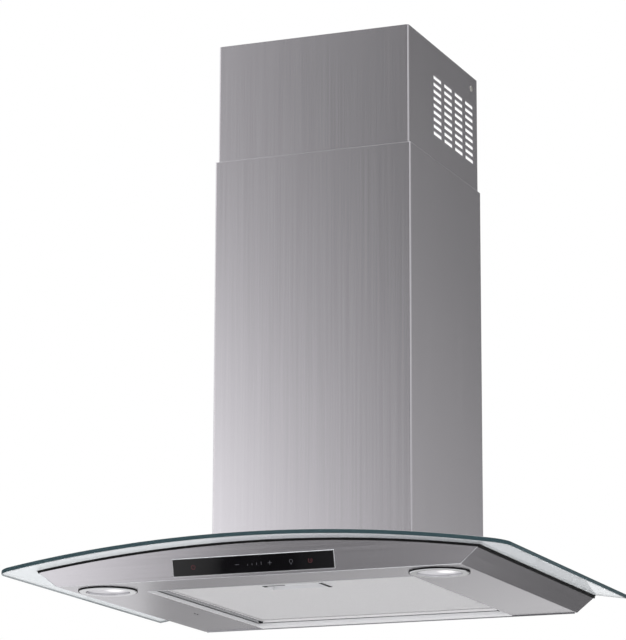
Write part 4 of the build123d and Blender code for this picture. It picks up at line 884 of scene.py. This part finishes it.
def lens_profile(radius, thickness):
    """Half section of the lens, from its top middle round to its lower middle."""
    lower = []
    for i in range(LENS_POINTS + 1):
        share = 1 - i / LENS_POINTS
        wave = 0.5 - 0.5 * math.cos(2 * math.pi * LENS_RINGS * share)
        lower.append((radius * share, RING_DEPTH * wave))
    return [(0, thickness), (radius, thickness), *lower]


def box_middle(low, high, level):
    """The middle of a box, seen from below, at a level."""
    return Vector(((low.x + high.x) / 2, (low.y + high.y) / 2, level))


for side in SIDES:
    low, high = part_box(f"lamp_lens_{side}")
    middle = box_middle(low, high, low.z)
    profile = lens_profile((high.x - low.x) / 2, high.z - low.z)
    lens = mesh_from(f"lamp_ringed_lens_{side}", lambda work: turned(work, profile, middle))
    for face in lens.polygons:
        face.use_smooth = True
    lens_piece = make_piece(lens.name, lens, "hood", node_finish[f"lamp_lens_{side}"])
    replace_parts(lens_piece, f"lamp_lens_{side}")
print("lens rings:", LENS_RINGS)

# %% [markdown]
# ## Edges and seams
# The rubber under the glass has a soft lip that hangs over the sheets' top edge, and its points come from
# the gasket's own lower edge. The gasket itself is drawn a little thinner than the CAD solid, because two
# faces in one place look mottled.

# %% Gasket and its lip
BEAD = 0.3 * MM
BEAD_SIDES = 8
FRONT_LIP = 0.6 * MM
SIDE_LIP = 1.2 * MM
ARCH_RADIUS = 1850 * MM
GASKET_RELIEF = 0.3 * MM
MERGE_DISTANCE = 0.001 * MM


def bead(work, points, radius=BEAD):
    """A thin rod along points. Its rings are joined crosswise, so it narrows halfway between two points."""
    turns = [2 * math.pi * k / BEAD_SIDES for k in range(BEAD_SIDES)]
    rings = []
    for point, way in zip(points, ways(points)):
        side = way.orthogonal().normalized()
        other = way.cross(side)
        spokes = [side * math.cos(t) + other * math.sin(t) for t in turns]
        rings.append([work.verts.new(point + radius * spoke) for spoke in spokes])
    for near, far in zip(rings, rings[1:]):
        first = min(range(BEAD_SIDES), key=lambda s: (far[s].co - near[0].co).length)
        for k in range(BEAD_SIDES):
            across_far = far[(first - k - 1) % BEAD_SIDES], far[(first - k) % BEAD_SIDES]
            work.faces.new((near[k], near[(k + 1) % BEAD_SIDES], *across_far))
    cap(work, rings)


def arch_level(co):
    """Height of a point above the arch through the crown, the same all along one curved face."""
    return co.z + co.x ** 2 / (2 * ARCH_RADIUS)


def gasket_lip(work):
    """Along the gasket's lower outer edge, on the front arch and both sides."""
    skin = [vertex.co for vertex in nodes["glass_gasket"].data.vertices]
    face = max(co.dot(outward) for co in skin)
    flat = [(arch_level(co), co) for co in skin if co.dot(outward) > face - FACE_TOLERANCE]
    middle = (min(flat)[0] + max(flat)[0]) / 2
    places = sorted({tuple(round(c, 6) for c in co) for level, co in flat if level < middle})
    edge = [Vector(place) for place in places]
    bead(work, edge, FRONT_LIP)
    for end in (edge[0], edge[-1]):
        bead(work, [end, Vector((end.x, 0, end.z))], SIDE_LIP)
    print("lip points:", len(edge))


def gasket_strip(work):
    """The gasket with its top a little below the glass, so that the two curved faces don't meet."""
    work.from_mesh(nodes["glass_gasket"].data)
    bmesh.ops.remove_doubles(work, verts=work.verts, dist=MERGE_DISTANCE)
    for face in work.faces:
        face.smooth = False
    levels = {vertex: arch_level(vertex.co) for vertex in work.verts}
    middle = (min(levels.values()) + max(levels.values())) / 2
    for vertex, level in levels.items():
        if level > middle:
            vertex.co.z -= GASKET_RELIEF
    print("gasket points:", len(levels))


build_piece(gasket_lip, "hood", rubber)
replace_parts(build_piece(gasket_strip, "hood", rubber), "glass_gasket")

# %% [markdown]
# Folded sheet never ends in a perfect corner. Where the canopy's sheets meet there is a thin bright seam,
# and the cut top edge of the lower chimney cover is dressed smooth. Each is a bead about 0.6 mm thick at
# its ends, along the real edge, and the ends come from the CAD sheets' own corners.

# %% Bright beads
COVER_BEAD = 0.9 * BEAD


def corner(node, *wish):
    """The vertex of a CAD node that lies furthest along a direction."""
    way = Vector(wish)
    return max((vertex.co for vertex in nodes[node].data.vertices), key=way.dot).copy()


front_left = corner("front_fascia", -1, 0, -9)
front_right = corner("front_fascia", 1, -0.1, -9)
front_left.y = front_right.y = corner("front_fascia", 0, -1, -9).y
top_left = corner("front_fascia", -9, -1, 0)
top_right = corner("front_fascia", 9, -1, 0)


def canopy_seams(work):
    """Along the lower front edge, and up both front corners."""
    for ends in ((front_left, front_right), (front_left, top_left), (front_right, top_right)):
        bead(work, ends)


def cover_edge(work):
    """Along the top of the lower chimney cover, on its front and both sides."""
    low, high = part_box("lower_chimney_cover")
    corners = [Vector((side * (high.x - BEAD), low.y + BEAD, high.z)) for side in (-1, 1)]
    bead(work, corners, COVER_BEAD)
    for place in corners:
        bead(work, [place, Vector((place.x, high.y - BEAD, high.z))], COVER_BEAD)


build_piece(canopy_seams, "hood", steel_edge)
build_piece(cover_edge, "hood", ground_edge)
print("front edge in mm:", *([round(c / MM, 1) for c in end] for end in (front_left, front_right)))

# %% [markdown]
# Dark pieces paint shade on the underside: a black ring between each lamp bezel and the sheet, which shows
# as a dark crescent in front where the bezel's shadow gap falls, and thin black strips that stand for the
# shade in the gaps along the latch's front on the left and across its right end.

# %% Painted shade rings and strips
SHADE_RING_REACH = 0.7 * MM
SHADE_RING_DEPTH = 1.4 * MM
SHADE_STRIP_WIDTH = 4.0 * MM
SHADE_STRIP_LENGTH = 8.0 * MM
SHADE_STRIP_DEPTH = 0.25 * MM
LINE_LENGTH = 2.5 * MM
under_low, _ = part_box("underside_panel")


def lamp_seals(work):
    """A black ring round the foot of each lamp bezel, painted shade for the shadow gap there."""
    for side in SIDES:
        low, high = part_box(f"lamp_bezel_{side}")
        inner = (high.x - low.x) / 2
        outer = inner + SHADE_RING_REACH
        profile = [(inner, 0), (outer, 0), (outer, -SHADE_RING_DEPTH), (inner, -SHADE_RING_DEPTH), (inner, 0)]
        turned(work, profile, box_middle(low, high, under_low.z))


def latch_slits(work):
    """Black strips that paint the shade in the narrow gaps round the latch."""
    x, y = pocket_half.x, pocket_half.y
    gaps = (((-x, -y), (-x / 4, -y + LINE_LENGTH)),
            ((-x, -y + LINE_LENGTH), (-x + SHADE_STRIP_WIDTH, -y + SHADE_STRIP_LENGTH)),
            ((x - SHADE_STRIP_WIDTH, -y), (x, y)))
    for near, far in gaps:
        bar(work, (near[0], pocket_middle.y + near[1], pocket_low.z - SHADE_STRIP_DEPTH),
            (far[0], pocket_middle.y + far[1], pocket_low.z))


# The black rings are painted shade: a dark crescent for the shadow gap round each bezel.
build_piece(lamp_seals, "hood", rubber)
# The black strips are painted shade for the narrow gaps round the latch.
build_piece(latch_slits, "filter", rubber)

# %% [markdown]
# The filter sits in an opening with a pale lining on its folded walls and a pale rail behind it. Their
# white enamel is painted highlight for the light on the opening's lip. A dark hem runs along the back edge
# of the underside.

# %% Lining of the opening
LINING = 0.35 * MM
LINING_DROP = 0.2 * MM
LINING_HEIGHT = 3.9 * MM
RAIL_BACK = -4.5 * MM
RAIL_DEPTH = 0.4 * MM
HEM_HALF = 236 * MM
HEM_WIDTH = 2.4 * MM
HEM_DEPTH = 1.0 * MM
OPENING_HALF = 160 * MM
OPENING_FRONT = -339.5 * MM
OPENING_BACK = -20 * MM


def opening_lining(work):
    """Thin strips on the walls of the filter opening, and the rail behind it."""
    low, high = under_low.z - LINING_DROP, under_low.z + LINING_HEIGHT
    inner = OPENING_HALF - LINING
    for near, far in ((-OPENING_HALF, -inner), (inner, OPENING_HALF)):
        bar(work, (near, OPENING_FRONT, low), (far, OPENING_BACK, high))
    for near, far in ((OPENING_FRONT, OPENING_FRONT + LINING), (OPENING_BACK - LINING, OPENING_BACK)):
        bar(work, (-inner, near, low), (inner, far, high))
    bar(work, (-OPENING_HALF, OPENING_BACK, under_low.z - RAIL_DEPTH),
        (OPENING_HALF, RAIL_BACK, under_low.z))


def back_hem(work):
    """A folded hem along the back edge of the underside."""
    bar(work, (-HEM_HALF, -HEM_WIDTH, under_low.z - HEM_DEPTH), (HEM_HALF, 0, under_low.z))


# The lining and rail are white as painted highlight for the lit lip of the opening.
build_piece(opening_lining, "hood", lip_highlight_enamel)
build_piece(back_hem, "hood", ground_steel)

# %% [markdown]
# A flange round the filter's frame closes most of the gap in the opening. Its end bars are pale and
# anodised. Its side bars are bare ground steel, whose darker tone beside the lining is painted shade for the
# opening's inner wall. Two black caps cover the ends of the hinge pins, and two small domed rivets hold a
# wire clip inside the left margin of the underside.

# %% Flanges, caps and rivets
FLANGE_SIDE = 1.6 * MM
FLANGE_COVER = 7.0 * MM
FLANGE_END = 3.0 * MM
FLANGE_THICKNESS = 0.6 * MM
CAP_RADIUS = 2.8 * MM
CAP_HEIGHT = 2.6 * MM
CAP_INSET = 4.5 * MM
RIVET_X = -184 * MM
RIVET_PLACES = (-146 * MM, -154 * MM)
RIVET_RADIUS = 1.2 * MM
RIVET_SEAT = 0.4 * MM
RIVET_SHOULDER = (0.7 * MM, -0.35 * MM)
RIVET_DOME = 0.45 * MM
frame_low, frame_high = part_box("filter_frame")
flange_outer, flange_inner = frame_high.x + FLANGE_SIDE, frame_high.x - FLANGE_COVER
flange_low = frame_low.z - FLANGE_THICKNESS


def filter_end_flanges(work):
    """Flat bars just under the front and the back of the filter frame."""
    for y in (frame_low.y, frame_high.y):
        bar(work, (-flange_outer, y - FLANGE_END, flange_low), (flange_outer, y + FLANGE_END, frame_low.z))


def filter_side_flanges(work):
    """Flat bars just under the sides of the filter frame, between the end bars."""
    for near, far in ((-flange_outer, -flange_inner), (flange_inner, flange_outer)):
        bar(work, (near, frame_low.y + FLANGE_END, flange_low),
            (far, frame_high.y - FLANGE_END, frame_low.z))


def filter_hinge_caps(work):
    """Black caps at the back corners of the filter."""
    profile = [(0, 0), (CAP_RADIUS, 0), (CAP_RADIUS, -0.8 * CAP_HEIGHT), (CAP_RADIUS * 0.6, -CAP_HEIGHT),
               (0, -CAP_HEIGHT)]
    for side in (-1, 1):
        place = Vector((side * (frame_high.x - CAP_INSET), frame_high.y - CAP_INSET, frame_low.z))
        turned(work, profile, place, steps=20)


def margin_rivets(work):
    """Two small domed rivets in the left margin of the underside."""
    profile = [(0, RIVET_SEAT), (RIVET_RADIUS, RIVET_SEAT), (RIVET_RADIUS, 0), RIVET_SHOULDER,
               (0, -RIVET_DOME)]
    for y in RIVET_PLACES:
        turned(work, profile, Vector((RIVET_X, y, under_low.z)), steps=16)


build_piece(filter_end_flanges, "filter", anodised)
# The side bars' darker steel is painted shade for the opening's inner wall.
build_piece(filter_side_flanges, "filter", ground_steel)
build_piece(filter_hinge_caps, "filter", black_pin)
build_piece(margin_rivets, "hood", black_pin)
print("filter frame in mm:", [round(c / MM, 1) for c in (*frame_low, *frame_high)])

# %% [markdown]
# ## The studio
# The hood hangs in a white studio over a pale floor at the height of a worktop. The world is white to the
# camera and in reflections, and gives a softer light to everything else. The floor lets a camera below it
# look through.

# %% Floor and world
FLOOR_HEIGHT = -0.83
FLOOR_HALF = 7.0
SKY_LIGHT = 0.9
canvas = bpy.context.scene
canvas.view_settings.view_transform = "Standard"


def studio_floor():
    """A pale matt sheet that is clear from below."""
    finish = bpy.data.materials.new("pale_studio_floor")
    tree = empty_tree(finish)
    matt = add(tree, "ShaderNodeBsdfDiffuse", {"Color": linear("#EDEDEE")})
    open_side = add(tree, "ShaderNodeBsdfTransparent")
    behind = add(tree, "ShaderNodeNewGeometry").outputs["Backfacing"]
    mixed = add(tree, "ShaderNodeMixShader", {0: behind, 1: matt, 2: open_side})
    add(tree, "ShaderNodeOutputMaterial", {"Surface": mixed})
    return finish


def flat_sheet(name, corners, finish):
    """A stage sheet through four corners."""
    mesh = bpy.data.meshes.new(name)
    mesh.from_pydata(corners, [], [range(4)])
    sheet = put(name, mesh)
    dress(sheet, finish)
    return sheet


floor_corners = ((-1, -1), (1, -1), (1, 1), (-1, 1))
flat_sheet("studio_floor", [(x * FLOOR_HALF, y * FLOOR_HALF, FLOOR_HEIGHT) for x, y in floor_corners],
           studio_floor())
world = bpy.data.worlds.new("white_studio")
canvas.world = world
tree = empty_tree(world)
ray = add(tree, "ShaderNodeLightPath").outputs
shown = add(tree, "ShaderNodeMath", {0: ray["Is Camera Ray"], 1: ray["Is Glossy Ray"]}, operation="MAXIMUM")
shown = add(tree, "ShaderNodeMath", {0: shown, 1: ray["Is Transmission Ray"]}, operation="MAXIMUM")
level = add(tree, "ShaderNodeMapRange", {"Value": shown, "To Min": SKY_LIGHT, "To Max": 1.0})
sky = add(tree, "ShaderNodeBackground", {"Color": (1, 1, 1, 1), "Strength": level})
add(tree, "ShaderNodeOutputWorld", {"Surface": sky})
print("floor at", FLOOR_HEIGHT, "m, sky light", SKY_LIGHT)

# %% [markdown]
# Steel shows whatever stands round it, so a few grey cards stand out of the picture, as a photographer
# would place them, and show only in reflections. Each is a plain sheet whose tone changes evenly across it
# and up it, like a sheet of graded paper.

# %% Card helpers
FAR = 9.0
HIDDEN_FROM = ("camera", "diffuse", "transmission", "volume_scatter", "shadow")


def graded_card(name, corners, tone, middle=(0, 0, 0), slope=(0, 0), limits=(0, 1), twist=0.0, hold=FAR):
    """A card whose tone grows from its middle by a rate per metre along X and Z, within limits.

    The twist changes the rate along X with height, and the tone stays level above the hold height.
    """
    finish = bpy.data.materials.new(name)
    tree = empty_tree(finish)
    place = add(tree, "ShaderNodeTexCoord").outputs["Object"]
    below = add(tree, "ShaderNodeVectorMath", {0: place, 1: (FAR, FAR, hold)}, operation="MINIMUM")
    offset = add(tree, "ShaderNodeVectorMath", {0: below, 1: middle}, operation="SUBTRACT")
    rates = (slope[0], 0, slope[1])
    change = add(tree, "ShaderNodeVectorMath", {0: offset, 1: rates}, operation="DOT_PRODUCT")
    axes = add(tree, "ShaderNodeSeparateXYZ", {0: offset}).outputs
    cross = add(tree, "ShaderNodeMath", {0: axes["X"], 1: axes["Z"]}, operation="MULTIPLY")
    rise = change.outputs["Value"]
    twisted = add(tree, "ShaderNodeMath", {0: cross, 1: twist, 2: rise}, operation="MULTIPLY_ADD")
    growth = add(tree, "ShaderNodeMath", {0: twisted}, operation="EXPONENT")
    level = add(tree, "ShaderNodeMath", {0: growth, 1: tone}, operation="MULTIPLY")
    held = add(tree, "ShaderNodeClamp", {"Value": level, "Min": limits[0], "Max": limits[1]})
    light = add(tree, "ShaderNodeEmission", {"Strength": held})
    add(tree, "ShaderNodeOutputMaterial", {"Surface": light})
    card = flat_sheet(name, corners, finish)
    for kind in HIDDEN_FROM:
        setattr(card, "visible_" + kind, False)
    print("card:", name)


def upright(x0, x1, y, z0, z1):
    """Corners of an upright sheet that faces along Y."""
    return [(x0, y, z0), (x1, y, z0), (x1, y, z1), (x0, y, z1)]


def leaning(x0, x1, low, high):
    """Corners of a sheet that leans between two edges, each a depth and a height."""
    return [(x0, *low), (x1, *low), (x1, *high), (x0, *high)]


print("cards are hidden from:", *HIDDEN_FROM)

# %% [markdown]
# The front card grades the chimney's front, the low front cards the fascia, and the cards behind the hood
# its right side and its underside. A narrow dark strip shows in the touch panel, and a card on the right
# in the folds.

# %% Grey cards
FRONT_CARD = -2.0
BACK_CARD = 1.5
SIDE_CARD = 0.9
RIGHT_CARD = 2.4
CARD_FOOT = -0.25
CARD_TOP = 1.6
LOW_SPLIT = -0.44
UNDER_SPLIT = 0.12
LOW_EDGE = (-1.35, FLOOR_HEIGHT + 0.01)
HIGH_EDGE = (FRONT_CARD, CARD_FOOT)
STRIP_AHEAD = 0.02
strip_low = (LOW_EDGE[0] + STRIP_AHEAD, LOW_EDGE[1])
strip_high = (FRONT_CARD + STRIP_AHEAD, CARD_FOOT)
graded_card("front_card", upright(-2.6, 0.5, FRONT_CARD, CARD_FOOT, CARD_TOP), tone=0.475,
            middle=(-0.74, FRONT_CARD, 0.65), slope=(-2.46, -1.45), limits=(0.18, 1.7), twist=1.82, hold=0.9)
graded_card("low_left_front_card", leaning(-2.6, LOW_SPLIT, LOW_EDGE, HIGH_EDGE), tone=0.29,
            middle=(-0.58, FRONT_CARD, -0.5), slope=(-5.6, 0.0), limits=(0.14, 1.5))
graded_card("low_right_front_card", leaning(LOW_SPLIT, 0.6, LOW_EDGE, HIGH_EDGE), tone=0.165,
            middle=(LOW_SPLIT, FRONT_CARD, -0.5), slope=(2.9, 0.0), limits=(0.13, 0.6))
graded_card("right_back_card", upright(0.2, 2.4, BACK_CARD, -0.3, 2.4), tone=0.275,
            middle=(0.72, BACK_CARD, 0.55), slope=(2.4, -1.15), limits=(0.17, 0.8))
graded_card("low_right_card", upright(UNDER_SPLIT, 1.0, SIDE_CARD, FLOOR_HEIGHT, -0.30), tone=0.16)
graded_card("low_left_card", upright(-1.02, UNDER_SPLIT, BACK_CARD, FLOOR_HEIGHT, -0.1), tone=0.54,
            middle=(-0.45, BACK_CARD, -0.49), slope=(1.6, 5.0), limits=(0.10, 0.85))
graded_card("dark_strip_card", leaning(-0.60, -0.46, strip_low, strip_high), tone=0.05)
graded_card("right_card", [(RIGHT_CARD, -2.0, CARD_FOOT), (RIGHT_CARD, 1.2, CARD_FOOT),
                           (RIGHT_CARD, 1.2, CARD_TOP), (RIGHT_CARD, -2.0, CARD_TOP)], tone=0.7)

# %% [markdown]
# Two large soft lamps give the matt pieces their form: one high in front, and a weaker one low on the
# right. They don't show in reflections, where they would burn out the steel.

# %% Lamps


def soft_lamp(name, place, aim, size, power):
    """A large square lamp turned towards a place."""
    light = bpy.data.lights.new(name, "AREA")
    light.size = size
    light.energy = power
    lamp = put(name, light)
    lamp.location = place
    lamp.rotation_euler = (Vector(aim) - Vector(place)).to_track_quat("-Z", "Y").to_euler()
    lamp.visible_glossy = False
    print("lamp:", name, power, "W")


soft_lamp("high_front_lamp", place=(-0.6, -1.8, 2.6), aim=(0, -0.2, 0.1), size=1.6, power=18)
soft_lamp("low_right_lamp", place=(2.2, -1.6, 0.4), aim=(0, -0.2, 0.0), size=1.0, power=6)

# %% [markdown]
# ## Camera
# The photo was taken from below on the right with a long lens. The camera's place and turn were solved
# from the hood's straight edges at its real size.

# %% Camera
PHOTO_HEIGHT = 640
FOCAL_PIXELS = 3242.0
SENSOR = 36.0
YAW = math.radians(22.18)
PITCH = math.radians(13.02)
ROLL = math.radians(0.16)
CAMERA_PLACE = (1.38040, -3.62467, -0.70371)
optics = bpy.data.cameras.new("photo_camera")
optics.sensor_width = SENSOR
optics.lens = FOCAL_PIXELS / PHOTO_HEIGHT * SENSOR
camera = put("photo_camera", optics)
camera.location = CAMERA_PLACE
look = Vector((-math.sin(YAW) * math.cos(PITCH), math.cos(YAW) * math.cos(PITCH), math.sin(PITCH)))
camera.rotation_euler = (look.to_track_quat("-Z", "Y") @ Quaternion((0, 0, 1), ROLL)).to_euler()
canvas.camera = camera
print("lens in mm:", round(optics.lens, 1))
